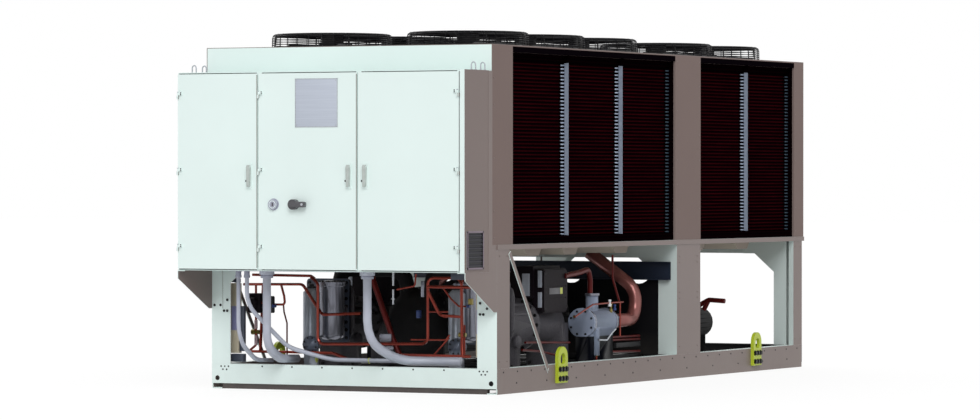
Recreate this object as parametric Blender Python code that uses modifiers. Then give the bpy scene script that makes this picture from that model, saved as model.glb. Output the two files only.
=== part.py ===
"""Air-cooled screw chiller: base, machine bay, side coils, fan deck and electrical cabinet.

Metres, +Z up. The cabinet faces -Y, the length runs along Y, and the origin is the centre
of the footprint at ground level.
"""
import math

import bmesh
import bpy
from mathutils import Matrix, Vector

for old in list(bpy.data.objects):
    bpy.data.objects.remove(old, do_unlink=True)

# Driving sizes of the frame
BASE_LENGTH = 5.350
WIDTH = 2.258
BEAM_HEIGHT = 0.176
BEAM_FLANGE = 0.080
BEAM_WALL = 0.008
END_BEAM_BOTTOM = 0.038
RAIL_BOTTOM = 0.994
RAIL_HEIGHT = 0.034
RAIL_WIDTH = 0.060
RAIL_PROUD = 0.0066
FRAME_TOP = 2.404
UPPER_OVERHANG = 0.070
REAR_OVERHANG = 0.030
SHEET = 0.005
GAP = 0.0003

# Driving sizes of the cabinet and its doors
CABINET_REACH = 0.485
CABINET_BACK = 0.125
CABINET_BOTTOM = 0.843
CABINET_TOP = 2.221
CABINET_SIDE_INSET = 0.001
CABINET_WALL = 0.006
DOOR_THICKNESS = 0.020
DOOR_SEAL = 0.002
DOOR_GAP = 0.008
DOOR_WIDTH = 0.775
DOOR_STRIP = 0.036
DOOR_MARGIN = 0.012
LEVER_REACH = 0.062

# The footprint's centre is the origin, so every place along the length starts from here
FRONT = (CABINET_REACH + LEVER_REACH - BASE_LENGTH - REAR_OVERHANG) / 2
HALF = WIDTH / 2
RAIL_TOP = RAIL_BOTTOM + RAIL_HEIGHT
BASE_BACK = FRONT + BASE_LENGTH
BODY_FRONT = FRONT - UPPER_OVERHANG
BODY_BACK = BASE_BACK + REAR_OVERHANG
DOOR_FACE = FRONT - CABINET_REACH
CABINET_FACE = DOOR_FACE + DOOR_THICKNESS + DOOR_SEAL

# Posts along the length: start and end measured from the front of the base
LOWER_POSTS = {"front": (0.0, 0.195), "mid": (2.972, 3.395), "rear": (5.180, 5.350)}
POST_WIDTH = 0.152
HEADER_HEIGHT = 0.100
GUSSET = 0.165
UPPER_POSTS = ((-0.070, 0.243), (2.943, 3.400), (5.192, 5.380))
COIL_BANKS = {"front": (0.243, 1.164, 2.063, 2.943), "rear": (3.400, 4.327, 5.192)}
COIL_RECESS = 0.085
COIL_EDGE = 0.016
COIL_THICKNESS = 0.076
TOP_RAIL = 0.045

# Fans
FAN_ROWS = (0.704, 1.614, 2.503, 3.864, 4.766)
DECK_SPLITS = (-0.070, 1.164, 2.063, 3.172, 4.327, 5.380)
DECK_SHEET = 0.004
FAN_ACROSS = 0.545
THROAT_RADIUS = 0.400
THROAT_WALL = 0.010
THROAT_DEPTH = 0.160
THROAT_SIDES = 20
GUARD_RADIUS = 0.435
GUARD_HEIGHT = 0.112
BLADE_TIP = 0.391
HUB_RADIUS = 0.100

# Machines: places across the width are measured in from the side faces
COMPRESSOR_INSET = 0.489
SEPARATOR_INSET = 0.269
SEPARATOR_START = 1.890
SEPARATOR_AXIS = 0.438
SEPARATOR_RADIUS = 0.098
EVAPORATOR_START = 0.900
EVAPORATOR_LENGTH = 3.300
EVAPORATOR_AXIS = 0.455
EVAPORATOR_RADIUS = 0.235

chiller = bpy.data.collections.new("air_cooled_screw_chiller")
cutters = bpy.data.collections.new("cutters")
bpy.context.scene.collection.children.link(chiller)
bpy.context.scene.collection.children.link(cutters)


def material(name, colour, roughness, metallic=0.0):
    """A plain finish with the colour, roughness and metallic value of the real piece."""
    finish = bpy.data.materials.new(name)
    finish.use_nodes = True
    shader = finish.node_tree.nodes["Principled BSDF"]
    shader.inputs["Base Color"].default_value = (*colour, 1.0)
    shader.inputs["Roughness"].default_value = roughness
    shader.inputs["Metallic"].default_value = metallic
    return finish


PALE = ("pale_paint", (0.72, 0.85, 0.84), 0.45)
TAUPE = ("taupe_paint", (0.20, 0.155, 0.14), 0.5)
DARK = ("black_steel", (0.02, 0.02, 0.024), 0.5)
COIL = ("coil_fins", (0.025, 0.008, 0.01), 0.45)
NAVY = ("navy_steel", (0.01, 0.012, 0.025), 0.4)
COPPER = ("copper", (0.45, 0.16, 0.10), 0.3, 0.9)
CAST = ("cast_iron", (0.13, 0.12, 0.12), 0.6)
STEEL = ("steel", (0.45, 0.47, 0.50), 0.35, 0.8)
LILAC = ("conduit_grey", (0.42, 0.45, 0.55), 0.5)
LIME = ("lime_paint", (0.50, 0.62, 0.03), 0.5)
FAN_BLACK = ("fan_black", (0.015, 0.015, 0.017), 0.5)
HANDLE_GREY = ("handle_grey", (0.10, 0.10, 0.11), 0.5)


def mesh_object(name, shape, collection=cutters):
    """Turn a bmesh into an object with its faces pointing out."""
    bmesh.ops.recalc_face_normals(shape, faces=shape.faces)
    data = bpy.data.meshes.new(name)
    shape.to_mesh(data)
    shape.free()
    thing = bpy.data.objects.new(name, data)
    collection.objects.link(thing)
    return thing


def block(low, high):
    """A box between two corners."""
    shape = bmesh.new()
    bmesh.ops.create_cube(shape, size=1.0)
    low = Vector(low)
    high = Vector(high)
    size = high - low
    bmesh.ops.transform(shape, matrix=Matrix.Diagonal((*size, 1.0)), verts=shape.verts)
    bmesh.ops.translate(shape, vec=(low + high) / 2, verts=shape.verts)
    return mesh_object("block", shape)


def bar(outline, axis, start, end):
    """A flat outline pushed along one axis. Its two numbers are the other axes in X, Y, Z order."""
    shape = bmesh.new()
    corners = []
    for first, second in outline:
        place = [first, second]
        place.insert("XYZ".index(axis), start)
        corners.append(shape.verts.new(place))
    face = shape.faces.new(corners)
    pushed = bmesh.ops.extrude_face_region(shape, geom=[face])
    moved = [item for item in pushed["geom"] if isinstance(item, bmesh.types.BMVert)]
    shift = Vector((0.0, 0.0, 0.0))
    shift["XYZ".index(axis)] = end - start
    bmesh.ops.translate(shape, vec=shift, verts=moved)
    return mesh_object("bar", shape)


ONTO_AXIS = {"X": Matrix.Rotation(math.pi / 2, 4, "Y"), "Y": Matrix.Rotation(-math.pi / 2, 4, "X"), "Z": Matrix()}


def drum(centre, radius, length, axis="Z", sides=24, end_radius=None):
    """A cylinder, or a cone with an end radius, from its start centre along one axis."""
    shape = bmesh.new()
    tip = radius if end_radius is None else end_radius
    bmesh.ops.create_cone(shape, cap_ends=True, segments=sides, radius1=radius, radius2=tip, depth=length)
    bmesh.ops.translate(shape, vec=(0.0, 0.0, length / 2), verts=shape.verts)
    bmesh.ops.transform(shape, matrix=Matrix.Translation(centre) @ ONTO_AXIS[axis], verts=shape.verts)
    return mesh_object("drum", shape)


def turned(profile, centre, axis="Z", sides=24):
    """A profile of radius and height pairs, revolved with a Screw modifier."""
    shape = bmesh.new()
    points = [shape.verts.new((radius, 0.0, height)) for radius, height in profile]
    for first, second in zip(points, points[1:]):
        shape.edges.new((first, second))
    data = bpy.data.meshes.new("turned")
    shape.to_mesh(data)
    shape.free()
    thing = bpy.data.objects.new("turned", data)
    cutters.objects.link(thing)
    screw = thing.modifiers.new("Revolve", "SCREW")
    screw.steps = sides
    screw.render_steps = sides
    screw.use_merge_vertices = True
    screw.merge_threshold = 0.0001
    place = Matrix.Translation(centre) @ ONTO_AXIS[axis]
    shape = solid_shape(thing)
    bpy.data.objects.remove(thing, do_unlink=True)
    bmesh.ops.transform(shape, matrix=place, verts=shape.verts)
    return mesh_object("turned", shape)


def solid_shape(thing):
    """The evaluated object as a welded bmesh in world space."""
    bpy.context.view_layer.update()
    graph = bpy.context.evaluated_depsgraph_get()
    data = bpy.data.meshes.new_from_object(thing.evaluated_get(graph))
    shape = bmesh.new()
    shape.from_mesh(data)
    bpy.data.meshes.remove(data)
    bmesh.ops.transform(shape, matrix=thing.matrix_world, verts=shape.verts)
    bmesh.ops.remove_doubles(shape, verts=shape.verts, dist=0.00002)
    return shape


def bent(points, radius, steps=4):
    """A route with each corner rounded to a bend radius."""
    points = [Vector(point) for point in points]
    route = [points[0]]
    for before, corner, after in zip(points, points[1:], points[2:]):
        into = (before - corner).normalized()
        out = (after - corner).normalized()
        half = into.angle(out) / 2
        reach = min(radius / math.tan(half), 0.48 * (before - corner).length, 0.48 * (after - corner).length)
        bend = reach * math.tan(half)
        middle = corner + (into + out).normalized() * (bend / math.sin(half))
        start = corner + into * reach - middle
        finish = corner + out * reach - middle
        sweep = start.angle(finish)
        turn = start.cross(finish).normalized()
        for step in range(steps + 1):
            route.append(middle + Matrix.Rotation(sweep * step / steps, 3, turn) @ start)
    route.append(points[-1])
    return route


def pipe(points, radius, sides=12):
    """A round tube along a route, as a bevelled curve made solid."""
    line = bpy.data.curves.new("pipe", "CURVE")
    line.dimensions = "3D"
    line.bevel_depth = radius
    line.bevel_resolution = sides // 4 - 1 if sides % 4 == 0 else (sides - 4) // 2
    line.use_fill_caps = True
    spline = line.splines.new("POLY")
    spline.points.add(len(points) - 1)
    for knot, point in zip(spline.points, points):
        knot.co = (*point, 1.0)
    thing = bpy.data.objects.new("pipe", line)
    cutters.objects.link(thing)
    shape = solid_shape(thing)
    bpy.data.objects.remove(thing, do_unlink=True)
    bpy.data.curves.remove(line)
    return mesh_object("pipe", shape)


def combine(main, others, operation):
    """Boolean of one solid with several, keeping the main object."""
    if not others:
        return main
    group = bpy.data.collections.new("group")
    for other in others:
        group.objects.link(other)
    step = main.modifiers.new("Boolean", "BOOLEAN")
    step.operation = operation
    step.solver = "EXACT"
    step.operand_type = "COLLECTION"
    step.collection = group
    shape = solid_shape(main)
    main.modifiers.remove(step)
    bpy.data.collections.remove(group)
    for other in others:
        bpy.data.objects.remove(other, do_unlink=True)
    shape.to_mesh(main.data)
    shape.free()
    return main


def fuse(*pieces):
    return combine(pieces[0], pieces[1:], "UNION")


def cut(main, *tools):
    return combine(main, tools, "DIFFERENCE")


def mirrored(thing):
    """The same solid on the other side of the machine."""
    shape = bmesh.new()
    shape.from_mesh(thing.data)
    bmesh.ops.scale(shape, vec=(-1.0, 1.0, 1.0), verts=shape.verts)
    return mesh_object("mirrored", shape)


def node(name, thing, finish, origin=(0.0, 0.0, 0.0), smooth=False):
    """Name a finished solid, put its origin in place and give it its material."""
    thing.name = name
    thing.data.name = name
    cutters.objects.unlink(thing)
    chiller.objects.link(thing)
    origin = Vector(origin)
    thing.data.transform(Matrix.Translation(-origin))
    thing.location = origin
    thing.data.materials.clear()
    thing.data.materials.append(material(name + "_" + finish[0], *finish[1:]))
    if smooth:
        thing.data.shade_smooth()
        thing.data.set_sharp_from_angle(angle=math.radians(35))
    return thing


def both_sides(name, build, finish, smooth=False):
    """Make a piece on the near side and its mirror image on the far side."""
    right = build()
    left = mirrored(right)
    node(name + "_right", right, finish, smooth=smooth)
    node(name + "_left", left, finish, smooth=smooth)


# Base: two C-section side beams, end beams and cross members

BRACE_START = (0.188, 0.972)
BRACE_END = (0.800, 0.130)
BRACE_WIDTH = 0.034
BRACE_THICKNESS = 0.006
BRACE_BOLT = 0.010


def side_beam():
    """A C-section beam with the front bay's flat diagonal brace bolted to its outer face."""
    inner = HALF - BEAM_FLANGE
    web = HALF - BEAM_WALL
    upper = BEAM_HEIGHT - BEAM_WALL
    outline = ((HALF, 0.0), (HALF, BEAM_HEIGHT), (inner, BEAM_HEIGHT), (inner, upper),
               (web, upper), (web, BEAM_WALL), (inner, BEAM_WALL), (inner, 0.0))
    beam = bar(outline, "Y", FRONT + SHEET + GAP, BASE_BACK - SHEET - GAP)
    start = Vector((FRONT + BRACE_START[0], BRACE_START[1]))
    end = Vector((FRONT + BRACE_END[0], BRACE_END[1]))
    along = (end - start).normalized()
    across = Vector((-along.y, along.x)) * BRACE_WIDTH / 2
    flat = (start + across, start - across, end - across, end + across)
    brace = bar(flat, "X", HALF + GAP, HALF + GAP + BRACE_THICKNESS)
    seat = end - along * BRACE_WIDTH / 2
    bolt = drum((HALF - SHEET, seat.x, seat.y), BRACE_BOLT, 3 * SHEET, "X", 8)
    return fuse(beam, brace, bolt)


both_sides("side_beam", side_beam, TAUPE)

BETWEEN_BEAMS = HALF - BEAM_FLANGE - GAP
END_HOLE_RADIUS = 0.018
END_HOLE_INSET = 0.045
END_HOLE_HEIGHT = 0.075


def end_beam(face, inward):
    """A folded end beam: a face plate across both side beams and two flanges between them."""
    low, high = sorted((face, face + inward * SHEET))
    plate = block((-HALF, low, END_BEAM_BOTTOM), (HALF, high, BEAM_HEIGHT))
    holes = []
    for side in (-1, 1):
        centre = (side * (HALF - END_HOLE_INSET), low - SHEET, END_HOLE_HEIGHT)
        holes.append(drum(centre, END_HOLE_RADIUS, 3 * SHEET, "Y", 16))
    plate = cut(plate, *holes)
    low, high = sorted((face, face + inward * BEAM_FLANGE))
    top = block((-BETWEEN_BEAMS, low, BEAM_HEIGHT - SHEET), (BETWEEN_BEAMS, high, BEAM_HEIGHT))
    foot = block((-BETWEEN_BEAMS, low, END_BEAM_BOTTOM), (BETWEEN_BEAMS, high, END_BEAM_BOTTOM + SHEET))
    return fuse(plate, top, foot)


node("front_beam", end_beam(FRONT, 1), PALE)

CROSS_MEMBERS = (0.480, 1.000, 1.780, 2.230, 3.180, 4.760)
CROSS_WIDTH = 0.080
CROSS_TOP = 0.120
STRINGERS = (-0.620, 0.0, 0.620)
STRINGER_WIDTH = 0.060


def base_grid():
    """Rear beam and cross members, tied by three stringers under the machines."""
    low = BEAM_WALL + GAP
    members = [end_beam(BASE_BACK, -1)]
    for place in CROSS_MEMBERS:
        start = FRONT + place - CROSS_WIDTH / 2
        reach = HALF - BEAM_WALL - GAP
        members.append(block((-reach, start, low), (reach, start + CROSS_WIDTH, CROSS_TOP)))
    first = FRONT + CROSS_MEMBERS[0]
    last = BASE_BACK - SHEET / 2
    for centre in STRINGERS:
        corner = (centre - STRINGER_WIDTH / 2, first, low + SHEET)
        members.append(block(corner, (centre + STRINGER_WIDTH / 2, last, CROSS_TOP - SHEET)))
    return fuse(*members)


node("base_grid", base_grid(), DARK)

# Machine bay: three portals stand on the side beams and carry the upper body

POST_BOTTOM = BEAM_HEIGHT + GAP
POST_TOP = RAIL_BOTTOM - GAP
HEADER_BOTTOM = RAIL_BOTTOM - HEADER_HEIGHT


def portal_plate(place, inward):
    """Both posts, the header and the corner gussets, cut from one plate."""
    inner = HALF - POST_WIDTH
    right = ((HALF, POST_BOTTOM), (HALF, POST_TOP))
    left = ((-HALF, POST_TOP), (-HALF, POST_BOTTOM), (-inner, POST_BOTTOM))
    arch = ((-inner, HEADER_BOTTOM - GUSSET * 0.88), (-inner + GUSSET, HEADER_BOTTOM),
            (inner - GUSSET, HEADER_BOTTOM), (inner, HEADER_BOTTOM - GUSSET * 0.88), (inner, POST_BOTTOM))
    return bar(right + left + arch, "Y", place, place + inward * SHEET)


def portal(start, end, plate_at_front=True):
    """A portal frame: the plate, folded side faces and the return at the other edge."""
    low = FRONT + start
    high = FRONT + end
    pieces = [portal_plate(low, 1) if plate_at_front else portal_plate(high, -1)]
    lip = 0.040
    for side in (-1, 1):
        edges = sorted((side * HALF, side * (HALF - SHEET)))
        pieces.append(block((edges[0], low, POST_BOTTOM), (edges[1], high, POST_TOP)))
        edges = sorted((side * HALF, side * (HALF - lip)))
        far = (high - SHEET, high) if plate_at_front else (low, low + SHEET)
        pieces.append(block((edges[0], far[0], POST_BOTTOM), (edges[1], far[1], POST_TOP)))
    edge = (low, low + lip) if plate_at_front else (high - lip, high)
    inner = HALF - POST_WIDTH
    pieces.append(block((-inner, edge[0], POST_TOP - SHEET), (inner, edge[1], POST_TOP)))
    return fuse(*pieces)


for portal_name, (start, end) in LOWER_POSTS.items():
    node(portal_name + "_portal", portal(start, end, portal_name != "rear"), PALE)

CHANNEL_LOW = 0.730
CHANNEL_HEIGHT = 0.136
CHANNEL_DEPTH = 0.050
CHANNEL_INSET = 0.050


def cross_channel():
    """A dark C channel bolted across the front of the middle portal, its flanges facing forward."""
    face = FRONT + LOWER_POSTS["mid"][0] - GAP
    low = CHANNEL_LOW
    high = CHANNEL_LOW + CHANNEL_HEIGHT
    front = face - CHANNEL_DEPTH
    web = face - SHEET
    outline = ((face, low), (face, high), (front, high), (front, high - SHEET),
               (web, high - SHEET), (web, low + SHEET), (front, low + SHEET), (front, low))
    return bar(outline, "X", -HALF + CHANNEL_INSET, HALF - CHANNEL_INSET)


node("cross_channel", cross_channel(), NAVY)

PARTITION_SHEET = 0.003
PARTITION_TOP = 0.800
PARTITION_CLEARANCE = 0.005
NOTCH_RADIUS = 0.100
NOTCH_INSETS = (0.315, 0.875)


def mid_partition():
    """A black sheet behind the middle portal, holed for the evaporator and notched for pipes."""
    half = HALF - 2 * SHEET
    low = FRONT + LOWER_POSTS["mid"][0] + SHEET + GAP
    sheet = block((-half, low, POST_BOTTOM), (half, low + PARTITION_SHEET, PARTITION_TOP))
    start = low - SHEET
    depth = PARTITION_SHEET + 2 * SHEET
    reach = EVAPORATOR_RADIUS + PARTITION_CLEARANCE
    holes = [drum((0.0, start, EVAPORATOR_AXIS), reach, depth, "Y", 24)]
    for inset in NOTCH_INSETS:
        for side in (-1, 1):
            holes.append(drum((side * (HALF - inset), start, PARTITION_TOP), NOTCH_RADIUS, depth, "Y", 20))
    return cut(sheet, *holes)


node("mid_partition", mid_partition(), DARK)

LUG_PLACES = {"front": 0.985, "rear": 4.417}
LUG_WIDTH = 0.150
LUG_LOW = 0.045
LUG_HIGH = 0.300
LUG_THICKNESS = 0.025
LUG_EYE_WIDTH = 0.038
LUG_EYE_LOW = 0.195
LUG_EYE_HIGH = 0.255
LUG_EYE_TOE = 0.018


def lifting_lug(place):
    """A plate with a round head and a long eye, bolted to the side beam."""
    centre = FRONT + place
    radius = LUG_WIDTH / 2
    outline = [(centre - radius, LUG_LOW), (centre + radius, LUG_LOW)]
    middle = LUG_HIGH - radius
    for step in range(13):
        angle = math.pi * step / 12
        outline.append((centre + radius * math.cos(angle), middle + radius * math.sin(angle)))
    plate = bar(outline, "X", HALF + GAP, HALF + GAP + LUG_THICKNESS)
    eye = []
    for step in range(7):
        angle = math.pi * step / 6
        eye.append((centre + LUG_EYE_WIDTH * math.cos(angle), LUG_EYE_HIGH + LUG_EYE_WIDTH * (math.sin(angle) - 1)))
    for step in range(7):
        angle = math.pi * (1 + step / 6)
        eye.append((centre + LUG_EYE_WIDTH * math.cos(angle), LUG_EYE_LOW + LUG_EYE_TOE * math.sin(angle)))
    return cut(plate, bar(eye, "X", HALF - LUG_THICKNESS, HALF + 2 * LUG_THICKNESS))


for lug_name, place in LUG_PLACES.items():
    both_sides("lifting_lug_" + lug_name, lambda: lifting_lug(place), LIME)


# Upper body: rails, coil frames, coil banks, end panels and the plenum floor

def mid_rail():
    """The folded rail that the upper body stands on."""
    outer = HALF + RAIL_PROUD
    inner = HALF - RAIL_WIDTH
    outline = ((outer, RAIL_BOTTOM), (outer, RAIL_TOP), (inner, RAIL_TOP), (inner, RAIL_TOP - SHEET),
               (outer - SHEET, RAIL_TOP - SHEET), (outer - SHEET, RAIL_BOTTOM + SHEET),
               (inner, RAIL_BOTTOM + SHEET), (inner, RAIL_BOTTOM))
    return bar(outline, "Y", FRONT, BODY_BACK)


both_sides("mid_rail", mid_rail, TAUPE)

BODY_LOW = RAIL_TOP + GAP
BODY_HIGH = FRAME_TOP - DECK_SHEET - GAP
RETURN_DEPTH = COIL_RECESS + COIL_THICKNESS


def coil_frame():
    """Face plate with two coil windows, and returns folded in at each window's edges."""
    face = block((HALF - SHEET, BODY_FRONT, BODY_LOW), (HALF, BODY_BACK, BODY_HIGH))
    windows = []
    returns = []
    for (_, before), (after, _) in zip(UPPER_POSTS, UPPER_POSTS[1:]):
        start = FRONT + before
        end = FRONT + after
        top = BODY_HIGH - TOP_RAIL
        windows.append(block((HALF - 0.1, start, BODY_LOW - 0.1), (HALF + 0.1, end, top)))
        low_side = (HALF - RETURN_DEPTH, start - SHEET, BODY_LOW)
        returns.append(block(low_side, (HALF, start, BODY_HIGH)))
        high_side = (HALF - RETURN_DEPTH, end, BODY_LOW)
        returns.append(block(high_side, (HALF, end + SHEET, BODY_HIGH)))
        returns.append(block((HALF - 0.040, start, top), (HALF, end, top + SHEET)))
    return fuse(cut(face, *windows), *returns)


both_sides("coil_frame", coil_frame, TAUPE)

COIL_PLATE = 0.004
COIL_TRAY = 0.050


def coil_bank(ends):
    """Finned coil sections with steel end plates that stand out in front of the fins."""
    inner = HALF - COIL_RECESS - COIL_THICKNESS
    face = HALF - COIL_RECESS
    start = FRONT + ends[0] + GAP
    end = FRONT + ends[-1] - GAP
    high = BODY_HIGH - TOP_RAIL - GAP
    body = block((inner, start, BODY_LOW), (face, end, high))
    pieces = []
    for split in ends:
        place = min(max(FRONT + split, start + COIL_PLATE / 2), end - COIL_PLATE / 2)
        edge = place - COIL_PLATE / 2
        pieces.append(block((inner, edge, BODY_LOW), (HALF - COIL_EDGE, edge + COIL_PLATE, high)))
    pieces.append(block((inner, start, BODY_LOW), (HALF - 0.020, end, BODY_LOW + COIL_TRAY)))
    pieces.append(block((inner, start, high - COIL_TRAY), (HALF - 0.060, end, high)))
    return fuse(body, *pieces)


for bank_name, ends in COIL_BANKS.items():
    both_sides("coil_bank_" + bank_name, lambda: coil_bank(ends), COIL)


def end_panel(face, inward):
    """A flat end panel with side returns, between the two coil frames."""
    reach = HALF - SHEET - GAP
    low, high = sorted((face, face + inward * SHEET))
    panel = block((-reach, low, BODY_LOW), (reach, high, BODY_HIGH))
    low, high = sorted((face, face + inward * 0.060))
    left = block((-reach, low, BODY_LOW), (-reach + SHEET, high, BODY_HIGH))
    right = block((reach - SHEET, low, BODY_LOW), (reach, high, BODY_HIGH))
    return fuse(panel, left, right)


node("front_end_panel", end_panel(BODY_FRONT, 1), PALE)
node("rear_end_panel", end_panel(BODY_BACK, -1), PALE)

FLOOR_SHEET = 0.004
FLOOR_SEAT = 0.025
TROUGH_PLACES = (0.420, 1.020, 1.620, 2.480, 3.850, 4.700)
TROUGH_TOP = 0.300
TROUGH_FOOT = 0.180
TROUGH_DEPTH = 0.062
TROUGH_END_INSET = 0.229


def plenum_floor():
    """The sheet under the fan plenum, with folded troughs below it."""
    inner = HALF - RAIL_WIDTH + FLOOR_SEAT
    under = RAIL_BOTTOM + SHEET + GAP
    pieces = [block((-inner, FRONT + 0.001, under), (inner, BODY_BACK - 0.100, under + FLOOR_SHEET))]
    for place in TROUGH_PLACES:
        centre = FRONT + place
        top = TROUGH_TOP / 2
        foot = TROUGH_FOOT / 2
        outline = ((centre - top, under + 0.001), (centre - foot, under - TROUGH_DEPTH),
                   (centre + foot, under - TROUGH_DEPTH), (centre + top, under + 0.001))
        pieces.append(bar(outline, "X", TROUGH_END_INSET - HALF, HALF - TROUGH_END_INSET))
    return fuse(*pieces)


node("plenum_floor", plenum_floor(), PALE)


# Fan deck: five panels with two throats and guards each, and ten rotors

GUARD_WIRE = 0.006
GUARD_SPOKES = 2
GUARD_SIDES = 16
GUARD_SHOULDER = 0.025
MOTOR_RADIUS = 0.080
RUNNING_GAP = 0.0005
HUB_LOW = -0.055
HUB_HIGH = 0.048


def ring(centre, radius, wire, sides):
    """A closed wire ring."""
    shape = bmesh.new()
    section = 3
    knots = []
    for step in range(sides):
        angle = 2 * math.pi * step / sides
        out = Vector((math.cos(angle), math.sin(angle), 0.0))
        loop = []
        for corner in range(section):
            turn = 2 * math.pi * (corner + 0.25) / section
            rise = Vector((0.0, 0.0, wire * math.sin(turn)))
            loop.append(shape.verts.new(Vector(centre) + out * (radius + wire * math.cos(turn)) + rise))
        knots.append(loop)
    for step, loop in enumerate(knots):
        following = knots[(step + 1) % sides]
        for corner in range(section):
            other = (corner + 1) % section
            shape.faces.new((loop[corner], loop[other], following[other], following[corner]))
    return mesh_object("ring", shape)


def fan_guard(centre):
    """Wire basket: a shoulder ring on crossed wires that carry the motor."""
    x, y, z = centre
    top = z + GUARD_HEIGHT - 2 * GUARD_WIRE
    shoulder = GUARD_RADIUS - GUARD_SHOULDER
    foot = GUARD_RADIUS - GUARD_WIRE
    pieces = [ring((x, y, top), shoulder, GUARD_WIRE, GUARD_SIDES)]
    motor_height = GUARD_HEIGHT - 0.001 - HUB_HIGH - RUNNING_GAP
    pieces.append(drum((x, y, z + HUB_HIGH + RUNNING_GAP), MOTOR_RADIUS, motor_height, "Z", 10))
    for step in range(GUARD_SPOKES):
        angle = math.pi * (step + 0.5) / GUARD_SPOKES
        out = Vector((math.cos(angle), math.sin(angle), 0.0))
        place = Vector((x, y, 0.0))
        route = (place - out * foot + Vector((0, 0, z - 0.002)), place - out * shoulder + Vector((0, 0, top)),
                 place + out * shoulder + Vector((0, 0, top)), place + out * foot + Vector((0, 0, z - 0.002)))
        pieces.append(pipe(route, GUARD_WIRE * 0.9, 4))
    return pieces


def fan_deck(start, end, row):
    """One deck panel with its throats and guards."""
    low = FRONT + start + GAP / 2
    high = FRONT + end - GAP / 2
    sheet = block((-HALF, low, FRAME_TOP - DECK_SHEET), (HALF, high, FRAME_TOP))
    collars = []
    holes = []
    guards = []
    for side in (-1, 1):
        centre = Vector((side * FAN_ACROSS, FRONT + row, FRAME_TOP))
        foot = centre - Vector((0.0, 0.0, THROAT_DEPTH))
        collar_height = THROAT_DEPTH - DECK_SHEET / 2
        collars.append(drum(foot, THROAT_RADIUS + THROAT_WALL, collar_height, "Z", THROAT_SIDES))
        foot.z -= THROAT_WALL
        holes.append(drum(foot, THROAT_RADIUS, 2 * THROAT_DEPTH, "Z", THROAT_SIDES))
        guards += fan_guard(centre)
    return fuse(cut(fuse(sheet, *collars), *holes), *guards)


BLADES = 5
BLADE_SHEET = 0.005
BLADE_CHORDS = (0.060, 0.105)
BLADE_PITCHES = (math.radians(34), math.radians(18))
BLADE_SWEEP = 0.30
BLADE_DROP = 0.004


def fan_rotor():
    """A hub with five swept blades, about its own centre."""
    hub = drum((0.0, 0.0, HUB_LOW), HUB_RADIUS, HUB_HIGH - HUB_LOW, "Z", 10)
    blades = []
    for number in range(BLADES):
        shape = bmesh.new()
        bmesh.ops.create_grid(shape, x_segments=2, y_segments=1, size=1.0)
        for vert in shape.verts:
            along = (vert.co.x + 1) / 2
            across = vert.co.y
            root = HUB_RADIUS * 0.85
            radius = root + along * (BLADE_TIP - root)
            chord = BLADE_CHORDS[0] + along * (BLADE_CHORDS[1] - BLADE_CHORDS[0])
            pitch = BLADE_PITCHES[0] + along * (BLADE_PITCHES[1] - BLADE_PITCHES[0])
            sweep = BLADE_SWEEP * along * along + across * chord * math.cos(pitch) / radius
            angle = 2 * math.pi * number / BLADES + sweep
            height = across * chord * math.sin(pitch) - BLADE_DROP
            vert.co = (radius * math.cos(angle), radius * math.sin(angle), height)
        blade = mesh_object("blade", shape)
        wall = blade.modifiers.new("Wall", "SOLIDIFY")
        wall.thickness = BLADE_SHEET
        wall.offset = 0.0
        shape = solid_shape(blade)
        bpy.data.objects.remove(blade, do_unlink=True)
        blades.append(mesh_object("blade", shape))
    return fuse(hub, *blades)


rotor_pattern = fan_rotor()
for number, (start, end, row) in enumerate(zip(DECK_SPLITS, DECK_SPLITS[1:], FAN_ROWS), start=1):
    node("fan_deck_" + str(number), fan_deck(start, end, row), TAUPE)
    for side_name, side in (("left", -1), ("right", 1)):
        copy = bpy.data.objects.new("rotor", rotor_pattern.data.copy())
        cutters.objects.link(copy)
        rotor = node("fan_rotor_" + side_name + "_" + str(number), copy, FAN_BLACK, smooth=True)
        rotor.location = (side * FAN_ACROSS, FRONT + row, FRAME_TOP)
bpy.data.objects.remove(rotor_pattern, do_unlink=True)


# Electrical cabinet on the front, its three doors and its brackets

CABINET_REAR = FRONT - CABINET_BACK
CABINET_HALF = HALF - CABINET_SIDE_INSET
PIN_FORWARD = 0.010
PIN_INSET = 0.006
BARREL_RADIUS = 0.006
BARREL_LENGTH = 0.025
HINGE_INSET = 0.159
LEAF = 0.003
FILLER_INSET = 0.020
MULLION_HALF = 0.020
MULLION_DEPTH = 0.030

strip_left = CABINET_HALF - DOOR_STRIP
right_door_right = strip_left - DOOR_GAP
right_door_left = right_door_right - DOOR_WIDTH
middle_door_right = right_door_left - DOOR_GAP
middle_door_left = middle_door_right - DOOR_WIDTH
left_door_right = middle_door_left - DOOR_GAP
left_door_left = -CABINET_HALF + DOOR_GAP
DOORS = {"left": (left_door_left, left_door_right, -1),
         "middle": (middle_door_left, middle_door_right, -1),
         "right": (right_door_left, right_door_right, 1)}
DOOR_LOW = CABINET_BOTTOM + DOOR_MARGIN
DOOR_HIGH = CABINET_TOP - DOOR_MARGIN
HINGE_LOW = CABINET_BOTTOM + HINGE_INSET
HINGE_HIGH = CABINET_TOP - HINGE_INSET
HINGE_HEIGHTS = (HINGE_LOW, (HINGE_LOW + HINGE_HIGH) / 2, HINGE_HIGH)


def pivot_of(door):
    """The hinge line: just inside the door's hinged edge and ahead of its face."""
    low, high, side = DOORS[door]
    edge = low if side < 0 else high
    return Vector((edge - side * PIN_INSET, DOOR_FACE - PIN_FORWARD, 0.0))


LOUVRE_START = 0.029
LOUVRE_LENGTH = 0.244
LOUVRE_RISE = 0.022
LOUVRE_HEIGHT = 0.260
LOUVRE_FRAME = 0.012
LOUVRE_PROUD = 0.008
LOUVRE_SLATS = 8


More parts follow.
